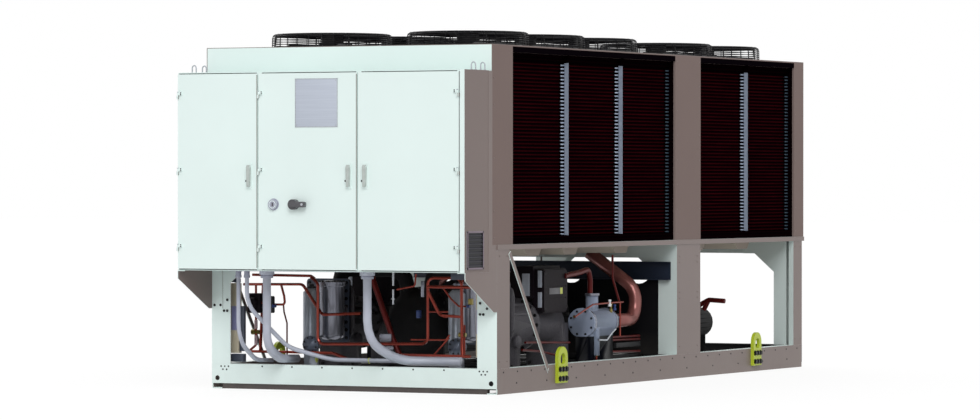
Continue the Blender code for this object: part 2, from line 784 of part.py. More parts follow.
def louvre():
    """A framed vent on the right flank: a shallow tray with slats that slope down and out."""
    start = DOOR_FACE + LOUVRE_START
    end = start + LOUVRE_LENGTH
    low = CABINET_BOTTOM + LOUVRE_RISE
    high = low + LOUVRE_HEIGHT
    back = CABINET_HALF - CABINET_WALL / 2
    front = CABINET_HALF + LOUVRE_PROUD
    floor = CABINET_HALF + LOUVRE_PROUD / 8
    frame = LOUVRE_FRAME
    tray = block((back, start, low), (front, end, high))
    tray = cut(tray, block((floor, start + frame, low + frame), (front + frame, end - frame, high - frame)))
    step = (LOUVRE_HEIGHT - 2 * frame) / LOUVRE_SLATS
    slats = []
    for number in range(LOUVRE_SLATS):
        foot = low + frame + step * (number + 0.25)
        outline = ((back, foot + step / 2), (front - SHEET / 5, foot), (front - SHEET / 5, foot + step / 6),
                   (back, foot + step * 2 / 3))
        slats.append(bar(outline, "Y", start + frame / 2, end - frame / 2))
    return fuse(tray, *slats)


def cabinet_body():
    """A steel box open at the front, with a mounting plate inside and the fixed hinge halves."""
    wall = CABINET_WALL
    shell = block((-CABINET_HALF, CABINET_FACE, CABINET_BOTTOM), (CABINET_HALF, CABINET_REAR, CABINET_TOP))
    pocket_low = (-CABINET_HALF + wall, CABINET_FACE - 0.1, CABINET_BOTTOM + wall)
    pocket_high = (CABINET_HALF - wall, CABINET_REAR - wall, CABINET_TOP - wall)
    shell = cut(shell, block(pocket_low, pocket_high))
    pieces = []
    for edge in (middle_door_left - DOOR_GAP / 2, right_door_left - DOOR_GAP / 2):
        pieces.append(block((edge - MULLION_HALF, CABINET_FACE, CABINET_BOTTOM + wall / 2),
                            (edge + MULLION_HALF, CABINET_FACE + MULLION_DEPTH, CABINET_TOP - wall / 2)))
    filler_low = (-CABINET_HALF + FILLER_INSET, CABINET_REAR - wall / 2, RAIL_TOP + FILLER_INSET)
    filler_high = (CABINET_HALF - FILLER_INSET, BODY_FRONT - GAP, CABINET_TOP - FILLER_INSET)
    pieces.append(block(filler_low, filler_high))
    strip_low = (strip_left, DOOR_FACE, CABINET_BOTTOM)
    pieces.append(block(strip_low, (CABINET_HALF, CABINET_FACE + wall, CABINET_TOP)))
    pieces.append(block((strip_left - MULLION_DEPTH, CABINET_FACE, CABINET_BOTTOM),
                        (CABINET_HALF, CABINET_FACE + wall, CABINET_TOP)))
    pieces.append(louvre())
    for door, (_, _, side) in DOORS.items():
        pivot = pivot_of(door)
        web = pivot.x + side * (PIN_INSET + DOOR_GAP / 2)
        edges = sorted((pivot.x, web + side * LEAF / 2))
        for height in HINGE_HEIGHTS:
            low = height - BARREL_LENGTH - GAP
            high = low + BARREL_LENGTH
            pieces.append(drum((pivot.x, pivot.y, low), BARREL_RADIUS, BARREL_LENGTH, "Z", 8))
            pieces.append(block((edges[0], pivot.y, low), (edges[1], pivot.y + LEAF, high)))
            pieces.append(block((web - LEAF / 2, pivot.y, low), (web + LEAF / 2, CABINET_FACE + 0.010, high)))
    return fuse(shell, *pieces)


node("cabinet_body", cabinet_body(), PALE)

HANDLE_HEIGHT = 0.150
HANDLE_WIDTH = 0.026
HANDLE_TOE = 0.016
HANDLE_REACH = 0.030
HANDLE_INSET = 0.060
HANDLE_DROP = 0.032
ESCUTCHEON_MARGIN = 0.012
ESCUTCHEON_THICKNESS = 0.008
DOOR_SHEET = 0.003
DOOR_EDGE = 0.012
ISOLATOR_RISE = 0.449
ISOLATOR_HEIGHT = DOOR_LOW + ISOLATOR_RISE
ISOLATOR_RADIUS = 0.036
KNOB_INSET = 0.122
KNOB_RADIUS = 0.035
KNOB_LENGTH = 0.022
LEAF_REACH = 0.030


def swing_handle(middle):
    """A tapered grip on its escutcheon."""
    centre = (DOOR_LOW + DOOR_HIGH) / 2 - HANDLE_DROP
    top = centre + HANDLE_HEIGHT / 2
    foot = centre - HANDLE_HEIGHT / 2
    shoulder = top - HANDLE_WIDTH / 2
    outline = ((middle - HANDLE_WIDTH / 4, top), (middle - HANDLE_WIDTH / 2, shoulder),
               (middle - HANDLE_TOE / 2, foot + HANDLE_TOE / 2), (middle - HANDLE_TOE / 4, foot),
               (middle + HANDLE_TOE / 4, foot), (middle + HANDLE_TOE / 2, foot + HANDLE_TOE / 2),
               (middle + HANDLE_WIDTH / 2, shoulder), (middle + HANDLE_WIDTH / 4, top))
    grip = bar(outline, "Y", DOOR_FACE - HANDLE_REACH, DOOR_FACE + SHEET / 5)
    margin = ESCUTCHEON_MARGIN
    low = (middle - HANDLE_WIDTH / 2 - margin / 3, DOOR_FACE - ESCUTCHEON_THICKNESS, foot - margin)
    plate = block(low, (middle + HANDLE_WIDTH / 2 + margin / 3, DOOR_FACE + SHEET / 5, top + margin))
    return [grip, plate]


def cabinet_door(door):
    """A tray door with folded edges, its hinge halves and its swing handle."""
    low, high, side = DOORS[door]
    panel = block((low, DOOR_FACE, DOOR_LOW), (high, DOOR_FACE + DOOR_THICKNESS, DOOR_HIGH))
    inside_low = (low + DOOR_EDGE, DOOR_FACE + DOOR_SHEET, DOOR_LOW + DOOR_EDGE)
    inside_high = (high - DOOR_EDGE, DOOR_FACE + 2 * DOOR_THICKNESS, DOOR_HIGH - DOOR_EDGE)
    panel = cut(panel, block(inside_low, inside_high))
    pieces = []
    pivot = pivot_of(door)
    for height in HINGE_HEIGHTS:
        base = height + GAP
        pieces.append(drum((pivot.x, pivot.y, base), BARREL_RADIUS, BARREL_LENGTH, "Z", 8))
        edges = sorted((pivot.x, pivot.x - side * LEAF_REACH))
        inset = SHEET / 5
        top = base + BARREL_LENGTH - inset
        pieces.append(block((edges[0], pivot.y + inset, base + inset), (edges[1], DOOR_FACE + inset, top)))
    free = high if side < 0 else low
    pieces += swing_handle(free + side * HANDLE_INSET)
    if door == "middle":
        place = (low + KNOB_INSET, DOOR_FACE - KNOB_LENGTH, ISOLATOR_HEIGHT)
        pieces.append(drum(place, KNOB_RADIUS, KNOB_LENGTH + SHEET / 5, "Y", 16))
    return fuse(panel, *pieces)


for door in DOORS:
    node("cabinet_door_" + door, cabinet_door(door), PALE, origin=pivot_of(door))

ISOLATOR_INSET = 0.290
ISOLATOR_DEPTH = 0.040
LEVER_HALF = 0.012
LEVER_TAIL = 0.020
LEVER_LENGTH = 0.100


def isolator_handle():
    """The rotary isolator's knob and lever on the middle door."""
    x = middle_door_left + ISOLATOR_INSET
    face = DOOR_FACE - GAP
    knob = drum((x, face - ISOLATOR_DEPTH, ISOLATOR_HEIGHT), ISOLATOR_RADIUS, ISOLATOR_DEPTH, "Y", 20)
    low = (x - LEVER_TAIL, face + GAP - LEVER_REACH, ISOLATOR_HEIGHT - LEVER_HALF)
    lever = block(low, (x + LEVER_LENGTH, face - ISOLATOR_DEPTH / 2, ISOLATOR_HEIGHT + LEVER_HALF))
    return fuse(knob, lever)


isolator_axis = (middle_door_left + ISOLATOR_INSET, DOOR_FACE, ISOLATOR_HEIGHT)
node("isolator_handle", isolator_handle(), HANDLE_GREY, origin=isolator_axis, smooth=True)

BRACKET_LOW = 0.566
BRACKET_TOP = CABINET_BOTTOM - GAP
BRACKET_REACH = 0.475
BRACKET_TOE = 0.047
BRACKET_NOSE = 0.056
BRACKET_FLANGE = 0.090
BRACKET_SHELF = 0.060


def cabinet_bracket():
    """A triangular bracket under the cabinet with a flange bolted to the corner post."""
    tip = FRONT - BRACKET_REACH
    behind = CABINET_REAR + GAP
    high = RAIL_BOTTOM - GAP
    outline = ((tip, BRACKET_TOP), (behind, BRACKET_TOP), (behind, high),
               (FRONT - GAP, high), (FRONT - GAP, BRACKET_LOW),
               (FRONT - BRACKET_TOE, BRACKET_LOW), (tip, BRACKET_TOP - BRACKET_NOSE))
    web = bar(outline, "X", HALF - SHEET, HALF)
    flange = block((HALF - BRACKET_FLANGE, FRONT - GAP - SHEET, BRACKET_LOW), (HALF, FRONT - GAP, high))
    shelf = block((HALF - BRACKET_SHELF, tip, BRACKET_TOP - SHEET), (HALF, FRONT - GAP, BRACKET_TOP))
    return fuse(web, flange, shelf)


both_sides("cabinet_bracket", cabinet_bracket, PALE)


# Machinery: two mirrored circuits, the evaporator between them and a small vessel behind

CASE_START = 0.860
CASE_AXIS = 0.440
CASE_RADIUS = 0.170
CASE_FLANGE = 0.022
MOTOR_LENGTH = 0.380
FLANGE_LENGTH = 0.040
TAPER_LENGTH = 0.200
ROTOR_RADIUS = 0.125
CASE_LENGTH = 0.980
NOSE = 0.030
FOOT_HALF_WIDTH = 0.150
FRONT_PLATE = 0.024
FRONT_PLATE_HALF = 0.174
FRONT_PLATE_LOW = 0.310
FRONT_PLATE_HIGH = 0.765
BACK_PLATE_MARGIN = 0.022
HOUSING_SHIFT = 0.091
HOUSING_PLACE = 0.700
HOUSING_RADIUS = 0.095
HOUSING_LOW = 0.325
HOUSING_HIGH = 0.745
HOUSING_CAP = 0.030
HOUSING_RIM = 0.010
NECK_RADIUS = 0.070
SUCTION_PLACE = 1.000
SUCTION_TOP = 0.680
SUCTION_RADIUS = 0.055
SUCTION_FLANGE = 0.020


def rounded(low, high, radius, steps=3):
    """A rectangle's outline with its corners rounded, from two opposite corners."""
    points = []
    quarters = ((high[0] - radius, high[1] - radius), (low[0] + radius, high[1] - radius),
                (low[0] + radius, low[1] + radius), (high[0] - radius, low[1] + radius))
    for quarter, (x, z) in enumerate(quarters):
        for step in range(steps + 1):
            angle = math.pi / 2 * (quarter + step / steps)
            points.append((x + radius * math.cos(angle), z + radius * math.sin(angle)))
    return points


def compressor():
    """Cast screw compressor: upright front housing, bolted plates, motor case, tapering rotor case."""
    x = HALF - COMPRESSOR_INSET
    start = FRONT + CASE_START
    flanged = CASE_RADIUS + CASE_FLANGE
    behind = MOTOR_LENGTH + FLANGE_LENGTH
    profile = ((0.0, 0.0), (CASE_RADIUS, 0.0), (CASE_RADIUS, MOTOR_LENGTH), (flanged, MOTOR_LENGTH),
               (flanged, behind), (CASE_RADIUS - CASE_FLANGE, behind), (ROTOR_RADIUS, behind + TAPER_LENGTH),
               (ROTOR_RADIUS, CASE_LENGTH - NOSE), (ROTOR_RADIUS - NOSE, CASE_LENGTH), (0.0, CASE_LENGTH))
    case = turned(profile, (x, start, CASE_AXIS), "Y", 20)
    front = start - 2 * FRONT_PLATE + GAP
    plate = bar(rounded((x - FRONT_PLATE_HALF, FRONT_PLATE_LOW), (x + FRONT_PLATE_HALF, FRONT_PLATE_HIGH),
                        FRONT_PLATE), "Y", front, front + FRONT_PLATE + GAP)
    half = FRONT_PLATE_HALF + BACK_PLATE_MARGIN
    low = FRONT_PLATE_LOW + BACK_PLATE_MARGIN
    high = FRONT_PLATE_HIGH - BACK_PLATE_MARGIN
    outline = rounded((x - half, low), (x + half, high), 4 * BACK_PLATE_MARGIN)
    back = bar(outline, "Y", front + FRONT_PLATE, start + GAP)
    height = HOUSING_HIGH - HOUSING_LOW
    dome = HOUSING_RADIUS / 2
    rim = HOUSING_RADIUS + HOUSING_RIM
    band = height - HOUSING_CAP
    upright = ((0.0, 0.0), (HOUSING_RADIUS * 0.75, HOUSING_RIM), (HOUSING_RADIUS, dome),
               (HOUSING_RADIUS, band), (rim, band), (rim, height), (0.0, height))
    middle = FRONT + HOUSING_PLACE
    housing = turned(upright, (x - HOUSING_SHIFT, middle, HOUSING_LOW), "Z", 20)
    place = (x - HOUSING_SHIFT, middle, (HOUSING_LOW + HOUSING_HIGH) / 2)
    neck = drum(place, NECK_RADIUS, front + GAP - middle, "Y", 12)
    boss = ((0.0, CASE_AXIS), (SUCTION_RADIUS, CASE_AXIS), (SUCTION_RADIUS, SUCTION_TOP - SUCTION_FLANGE),
            (SUCTION_RADIUS + SUCTION_FLANGE, SUCTION_TOP - SUCTION_FLANGE),
            (SUCTION_RADIUS + SUCTION_FLANGE, SUCTION_TOP), (0.0, SUCTION_TOP))
    suction = turned(boss, (x, FRONT + SUCTION_PLACE, 0.0), "Z", 12)
    feet = []
    for place in CROSS_MEMBERS[1:3]:
        foot = FRONT + place - CROSS_WIDTH / 2
        corner = (x - FOOT_HALF_WIDTH, foot, CROSS_TOP + GAP)
        feet.append(block(corner, (x + FOOT_HALF_WIDTH, foot + CROSS_WIDTH, CASE_AXIS)))
    return fuse(case, plate, back, housing, neck, suction, *feet)


both_sides("compressor", compressor, CAST, smooth=True)

BOX_FACE_INSET = 0.279
BOX_DEPTH = 0.250
COVER_DEPTH = 0.084
COVER_EDGE = 0.010
BOX_START = 1.290
BOX_END = 1.690
BOX_LOW = 0.520
BOX_HIGH = 0.838
BOX_CORNER = 0.034
BACK_MARGIN = 0.018
GROOVE_HEIGHTS = (0.627, 0.709)
GROOVE_DEPTH = 0.004


def terminal_box():
    """The compressor's terminal box: a moulded cover with grooves on a tray over the casting."""
    face = HALF - BOX_FACE_INSET
    start = FRONT + BOX_START
    end = FRONT + BOX_END
    edge = COVER_EDGE
    outline = rounded((start, BOX_LOW), (end, BOX_HIGH), BOX_CORNER)
    cover = bar(outline, "X", face - COVER_DEPTH, face - edge)
    outline = rounded((start + edge, BOX_LOW + edge), (end - edge, BOX_HIGH - edge), BOX_CORNER - edge / 2)
    crown = bar(outline, "X", face - COVER_DEPTH, face)
    ledge = CASE_AXIS + CASE_RADIUS + CASE_FLANGE + GAP
    tray = block((face - BOX_DEPTH, start - BACK_MARGIN, ledge),
                 (face - COVER_DEPTH + edge, end + BACK_MARGIN, BOX_HIGH + BACK_MARGIN))
    grooves = []
    for height in GROOVE_HEIGHTS:
        low = (face - GROOVE_DEPTH, start + BOX_CORNER, height - GROOVE_DEPTH)
        grooves.append(block(low, (face + GROOVE_DEPTH, end - BOX_CORNER, height + GROOVE_DEPTH)))
    return cut(fuse(cover, crown, tray), *grooves)


both_sides("terminal_box", terminal_box, DARK)

COVER_RIM = 0.010
COVER_THICKNESS = 0.024
SHELL_LENGTH = 0.400
CONE_LENGTH = 0.085
NOZZLE_RADIUS = 0.054
NOZZLE_LENGTH = 0.045
STUB_PLACE = 0.180
STUB_RADIUS = 0.046
STUB_TOP = 0.648
DRAIN_PLACE = 0.110
DRAIN_RADIUS = 0.022
DRAIN_LOW = 0.200
PEDESTAL_HALF_WIDTH = 0.060
PEDESTAL_START = 0.030
PEDESTAL_LENGTH = 0.380


def separator():
    """Oil separator: a turned shell on its pedestal, a bolted cover in front, a cone and nozzle behind."""
    x = HALF - SEPARATOR_INSET
    y = FRONT + SEPARATOR_START
    radius = SEPARATOR_RADIUS
    lid = radius + COVER_RIM
    end = COVER_THICKNESS + SHELL_LENGTH
    tip = end + CONE_LENGTH
    profile = ((0.0, 0.0), (lid, 0.0), (lid, COVER_THICKNESS), (radius, COVER_THICKNESS), (radius, end),
               (NOZZLE_RADIUS, tip), (NOZZLE_RADIUS, tip + NOZZLE_LENGTH), (0.0, tip + NOZZLE_LENGTH))
    shell = turned(profile, (x, y, SEPARATOR_AXIS), "Y", 20)
    stub = drum((x, y + STUB_PLACE, SEPARATOR_AXIS), STUB_RADIUS, STUB_TOP - SEPARATOR_AXIS, "Z", 12)
    drain = drum((x + PEDESTAL_HALF_WIDTH + DRAIN_RADIUS / 2, y + DRAIN_PLACE, DRAIN_LOW), DRAIN_RADIUS,
                 SEPARATOR_AXIS - DRAIN_LOW, "Z", 10)
    first = y + PEDESTAL_START
    last = first + PEDESTAL_LENGTH
    pedestal = block((x - PEDESTAL_HALF_WIDTH, first, CROSS_TOP + GAP), (x + PEDESTAL_HALF_WIDTH, last, SEPARATOR_AXIS))
    return fuse(shell, stub, drain, pedestal)


both_sides("oil_separator", separator, STEEL, smooth=True)

DISCHARGE_RADIUS = 0.050
DISCHARGE_BEND = 0.180
DISCHARGE_KNEE = 2.800
DISCHARGE_LEAN = 0.030
DISCHARGE_ELBOW_HEIGHT = 0.660
DISCHARGE_TOP = 0.935
DISCHARGE_IN = 0.360


def discharge_pipe():
    """The copper discharge line, from the separator's nozzle up to the plenum floor."""
    x = HALF - SEPARATOR_INSET
    start = SEPARATOR_START + COVER_THICKNESS + SHELL_LENGTH + CONE_LENGTH + NOZZLE_LENGTH + GAP
    knee = FRONT + DISCHARGE_KNEE
    route = ((x, FRONT + start, SEPARATOR_AXIS), (x, knee, SEPARATOR_AXIS),
             (x, knee + DISCHARGE_LEAN, DISCHARGE_ELBOW_HEIGHT), (x - DISCHARGE_IN, knee - DISCHARGE_LEAN, DISCHARGE_TOP))
    return pipe(bent(route, DISCHARGE_BEND, 5), DISCHARGE_RADIUS, 12)


both_sides("discharge_pipe", discharge_pipe, COPPER, smooth=True)

HEAD_LENGTH = 0.110
HEAD_DOME = 0.060
TUBE_SHEET_RIM = 0.020
TUBE_SHEET_THICKNESS = 0.032
SADDLE_HALF_WIDTH = 0.200
SADDLE_THICKNESS = 0.060
ARCH_PLACE = 0.095
ARCH_HEIGHT = 0.830
ARCH_BEND = 0.120
VESSEL_X = 0.500
VESSEL_START = 3.800
VESSEL_LENGTH = 0.980
VESSEL_AXIS = 0.362
VESSEL_RADIUS = 0.115
VESSEL_LINK = 3.960
LINK_RADIUS = 0.030


def suction_line(side):
    """An insulated suction line that arches from the shell to the compressor's flange."""
    x = side * (HALF - COMPRESSOR_INSET)
    y = FRONT + SUCTION_PLACE
    foot = side * ARCH_PLACE
    route = ((foot, y, EVAPORATOR_AXIS), (foot, y, ARCH_HEIGHT), (x, y, ARCH_HEIGHT), (x, y, SUCTION_TOP + GAP))
    flange = drum((x, y, SUCTION_TOP + GAP), SUCTION_RADIUS + SUCTION_FLANGE, SUCTION_FLANGE, "Z", 12)
    return [pipe(bent(route, ARCH_BEND, 3), SUCTION_RADIUS, 10), flange]


def rear_vessel():
    """The small insulated vessel beside the shell's rear end, on its own leg."""
    y = FRONT + VESSEL_START
    shell = drum((VESSEL_X, y, VESSEL_AXIS), VESSEL_RADIUS, VESSEL_LENGTH, "Y", 20)
    link = drum((0.0, FRONT + VESSEL_LINK, VESSEL_AXIS), LINK_RADIUS, VESSEL_X, "X", 8)
    leg_low = (VESSEL_X - VESSEL_RADIUS / 2, FRONT + CROSS_MEMBERS[5] - SHEET, CROSS_TOP + GAP)
    leg = block(leg_low, (VESSEL_X + VESSEL_RADIUS / 2, FRONT + CROSS_MEMBERS[5] + SHEET, VESSEL_AXIS))
    return [shell, link, leg]


def evaporator():
    """The insulated evaporator: domed heads bolted to tube sheets, on two saddles."""
    radius = EVAPORATOR_RADIUS
    rim = radius + TUBE_SHEET_RIM
    sheet = HEAD_LENGTH + TUBE_SHEET_THICKNESS
    half = ((0.0, 0.0), (radius - HEAD_DOME, 0.0), (radius, HEAD_DOME), (radius, HEAD_LENGTH),
            (rim, HEAD_LENGTH), (rim, sheet), (radius, sheet))
    profile = half + tuple((reach, EVAPORATOR_LENGTH - along) for reach, along in reversed(half))
    shell = turned(profile, (0.0, FRONT + EVAPORATOR_START, EVAPORATOR_AXIS), "Y", 24)
    pieces = suction_line(1) + suction_line(-1) + rear_vessel()
    for member in (CROSS_MEMBERS[1], CROSS_MEMBERS[4]):
        low = FRONT + member - SADDLE_THICKNESS / 2
        outline = ((-SADDLE_HALF_WIDTH, CROSS_TOP + GAP), (SADDLE_HALF_WIDTH, CROSS_TOP + GAP),
                   (SADDLE_HALF_WIDTH * 0.9, EVAPORATOR_AXIS), (-SADDLE_HALF_WIDTH * 0.9, EVAPORATOR_AXIS))
        pieces.append(bar(outline, "Y", low, low + SADDLE_THICKNESS))
    return fuse(shell, *pieces)


node("evaporator", evaporator(), DARK, smooth=True)

DRIER_PLACES = {"right": 0.572, "left": -0.591}
DRIER_Y = 0.480
DRIER_RADIUS = 0.060
DRIER_LOW = 0.270
DRIER_HIGH = 0.705
DRIER_DOME = 0.030
COVER_RADIUS = 0.062
COVER_SHIFT = 0.033
COVER_FRONT = 0.400
COVER_HEIGHT = 0.306
COVER_PLATE = 0.022
COVER_NECK = 0.042
DRIER_FOOT = 0.050
DRIER_FOOT_THICKNESS = 0.040


def filter_drier(x):
    """An upright filter drier with rounded ends, its bolted cover facing the front."""
    y = FRONT + DRIER_Y
    height = DRIER_HIGH - DRIER_LOW
    radius = DRIER_RADIUS
    dome = DRIER_DOME
    profile = ((0.0, 0.0), (radius - dome, 0.0), (radius, dome), (radius, height - dome), (radius - dome, height),
               (0.0, height))
    shell = turned(profile, (x, y, DRIER_LOW), "Z", 20)
    middle = x + COVER_SHIFT
    neck = drum((middle, FRONT + COVER_FRONT + COVER_PLATE / 2, COVER_HEIGHT), COVER_NECK, DRIER_Y - COVER_FRONT, "Y", 12)
    cover = drum((middle, FRONT + COVER_FRONT, COVER_HEIGHT), COVER_RADIUS, COVER_PLATE, "Y", 16)
    half = DRIER_FOOT_THICKNESS / 2
    foot = block((x - DRIER_FOOT, y - half, CROSS_TOP + GAP), (x + DRIER_FOOT, y + half, DRIER_LOW + dome))
    return fuse(shell, neck, cover, foot)


for side_name, place in DRIER_PLACES.items():
    node("filter_drier_" + side_name, filter_drier(place), STEEL, smooth=True)

LINE_RADIUS = 0.011
FRONT_LINE_Y = 0.270
LINE_BEND = 0.045
INLET_SHIFT = 0.010
INLET_HEIGHT = 0.5238
REAR_LINE_Y = COVER_FRONT - LINE_RADIUS - GAP


def flat_route(points, y):
    """A route in one upright plane across the front bay."""
    return [Vector((x, FRONT + y, z)) for x, z in points]


def liquid_line_right():
    """Copper lines in front of the right filter drier and across to the left one."""
    lines = (((0.139, 0.251), (0.788, 0.248)),
             ((-0.478, 0.789), (-0.422, 0.746), (-0.422, 0.315), (0.453, 0.331), (0.453, 0.790), (0.718, 0.790),
              (0.722, 0.251)),
             ((0.453, 0.700), (0.549, 0.530), (0.722, 0.522)))
    pieces = [pipe(bent(flat_route(line, FRONT_LINE_Y), LINE_BEND, 3), LINE_RADIUS, 8) for line in lines]
    inlet = (DRIER_PLACES["right"] + INLET_SHIFT, FRONT + FRONT_LINE_Y, INLET_HEIGHT)
    reach = DRIER_Y - DRIER_RADIUS - FRONT_LINE_Y - GAP
    pieces.append(drum(inlet, LINE_RADIUS, reach, "Y", 8))
    return fuse(*pieces)


def liquid_line_left():
    """Copper lines in front of the left filter drier."""
    lines = (((-1.093, 0.728), (-0.611, 0.733), (-0.454, 0.519), (-0.144, 0.532)),
             ((-1.068, 0.250), (-0.364, 0.249), (-0.256, 0.211)),
             ((-0.933, 0.729), (-0.957, 0.250)))
    pieces = [pipe(bent(flat_route(line, REAR_LINE_Y), LINE_BEND, 3), LINE_RADIUS, 8) for line in lines]
    return fuse(*pieces)


node("liquid_line_right", liquid_line_right(), COPPER, smooth=True)
node("liquid_line_left", liquid_line_left(), COPPER, smooth=True)


GLAND_PLATE_HALF = 0.050
GLAND_PLATE_THICKNESS = 0.006
CONDUIT_DROP = 0.250
SMALL_CONDUIT = 0.0165
LARGE_CONDUIT = 0.033
CONDUIT_BEND = 0.220
GLAND_RADIUS = 0.052
GLAND_HEIGHT = 0.030


def conduit_set():
    """Cable conduits from the cabinet's underside, hung from one gland plate."""
    top = CABINET_BOTTOM - GAP
    under = top - GLAND_PLATE_THICKNESS / 2
    drop = -CONDUIT_DROP
    routes = ((SMALL_CONDUIT, (-0.768, drop), ((-0.768, drop, 0.350), (-0.768, 0.000, 0.205), (-0.740, 0.180, 0.200))),
              (SMALL_CONDUIT, (-0.700, drop), ((-0.700, drop, 0.600), (-0.500, -0.020, 0.300), (-0.240, 0.140, 0.212),
                                               (0.350, 0.150, 0.212))),
              (LARGE_CONDUIT, (-0.540, drop), ((-0.540, drop, 0.310), (-0.540, -0.060, 0.222), (-0.540, 0.180, 0.215))),
              (LARGE_CONDUIT, (0.255, drop), ((0.255, drop, 0.360), (0.330, 0.080, 0.216), (0.560, 0.190, 0.212),
                                              (0.760, 0.190, 0.212))))
    first = routes[0][1][0] - GLAND_PLATE_HALF
    last = routes[-1][1][0] + GLAND_PLATE_HALF
    y = FRONT - CONDUIT_DROP
    pieces = []
    for radius, (x, across), knees in routes:
        route = [(x, FRONT + across, under)] + [(knee[0], FRONT + knee[1], knee[2]) for knee in knees]
        pieces.append(pipe(bent(route, CONDUIT_BEND, 4), radius, 8))
        if radius == LARGE_CONDUIT:
            height = GLAND_HEIGHT - GLAND_PLATE_THICKNESS / 2
            pieces.append(drum((x, y, top - GLAND_HEIGHT), GLAND_RADIUS, height, "Z", 12))
    plate = block((first, y - GLAND_PLATE_HALF, top - GLAND_PLATE_THICKNESS), (last, y + GLAND_PLATE_HALF, top))
    return fuse(plate, *pieces)


node("conduit_set", conduit_set(), LILAC, smooth=True)
for mesh in [data for data in bpy.data.meshes if data.users == 0]:
    bpy.data.meshes.remove(mesh)
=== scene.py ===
"""Finishes, wire guards, coils, cabinet fittings and bay machinery of an air-cooled screw chiller."""
import math

import bmesh
import bpy
from mathutils import Matrix, Vector


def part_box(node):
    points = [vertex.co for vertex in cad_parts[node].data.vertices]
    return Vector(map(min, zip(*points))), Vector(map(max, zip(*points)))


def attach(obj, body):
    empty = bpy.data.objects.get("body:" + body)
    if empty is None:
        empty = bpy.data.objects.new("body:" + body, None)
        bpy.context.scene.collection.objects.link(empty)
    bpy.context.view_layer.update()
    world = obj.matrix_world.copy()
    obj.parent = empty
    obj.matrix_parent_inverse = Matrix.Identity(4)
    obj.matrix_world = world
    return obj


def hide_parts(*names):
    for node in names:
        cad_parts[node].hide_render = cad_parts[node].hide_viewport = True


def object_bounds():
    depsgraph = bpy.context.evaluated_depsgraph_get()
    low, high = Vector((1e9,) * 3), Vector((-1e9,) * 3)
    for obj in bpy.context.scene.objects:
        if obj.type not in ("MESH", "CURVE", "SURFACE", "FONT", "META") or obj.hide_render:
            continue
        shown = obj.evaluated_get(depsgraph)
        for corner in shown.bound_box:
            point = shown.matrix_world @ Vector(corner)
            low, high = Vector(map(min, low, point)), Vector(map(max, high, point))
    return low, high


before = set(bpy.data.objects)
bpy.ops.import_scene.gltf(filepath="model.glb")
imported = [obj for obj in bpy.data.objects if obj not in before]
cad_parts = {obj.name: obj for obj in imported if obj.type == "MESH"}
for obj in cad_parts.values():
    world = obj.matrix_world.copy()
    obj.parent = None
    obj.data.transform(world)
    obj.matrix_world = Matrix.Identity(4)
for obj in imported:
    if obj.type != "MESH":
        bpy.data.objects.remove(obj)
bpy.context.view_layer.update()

# Base frame. Folded steel channels under a pale powder coat, with a taupe painted shade on the
# faces that look sideways. The base grid between them is satin black.


class Value:
    """One socket of a node tree. Expressions on values add their own Math nodes."""

    def __init__(self, sheet, socket):
        self.sheet = sheet
        self.socket = socket

    def out(self, name):
        return Value(self.sheet, self.socket.node.outputs[name])

    def maths(self, operation, *operands):
        return self.sheet.add("ShaderNodeMath", {"operation": operation}, dict(enumerate(operands)))

    def __add__(self, other):
        return self.maths("ADD", self, other)

    def __sub__(self, other):
        return self.maths("SUBTRACT", self, other)

    def __rsub__(self, other):
        return self.maths("SUBTRACT", other, self)

    def __mul__(self, other):
        return self.maths("MULTIPLY", self, other)

    def __gt__(self, other):
        return self.maths("GREATER_THAN", self, other)

    def __lt__(self, other):
        return self.maths("LESS_THAN", self, other)

    def between(self, low, high):
        return (self > low) * (self < high)

    def size(self):
        return self.maths("ABSOLUTE", self)

    def wave(self):
        return self.maths("SINE", self)

    def clamp(self):
        return self.maths("MINIMUM", self.maths("MAXIMUM", self, 0.0), 1.0)


class Sheet:
    """A node tree that is filled one node at a time."""

    def __init__(self, tree):
        self.tree = tree

    def feed(self, socket, value):
        if isinstance(value, Value):
            self.tree.links.new(value.socket, socket)
        else:
            socket.default_value = value

    def add(self, kind, settings=None, sockets=None, out=0):
        node = self.tree.nodes.new(kind)
        for name, setting in (settings or {}).items():
            setattr(node, name, setting)
        for name, value in (sockets or {}).items():
            self.feed(node.inputs[name], value)
        return Value(self, node.outputs[out])


def srgb(red, green, blue):
    """A colour as the eye reads it, 0 to 255, in the numbers that a shader takes."""
    linear = []
    for part in (red, green, blue):
        part /= 255
        linear.append(part / 12.92 if part <= 0.04045 else ((part + 0.055) / 1.055) ** 2.4)
    return (*linear, 1.0)


BLACK = (0, 0, 0)
PALE = (233, 248, 245)
# The bay pale is the pale paint darkened as painted shade, for the portals inside the machine bay.
BAY_SHADE_PALE = (198, 210, 208)
# The taupe is a painted shade of the pale paint, for faces that look sideways.
SHADE_TAUPE = (124, 110, 106)
DUST = (150, 143, 132)
SIDE_ON = 0.7


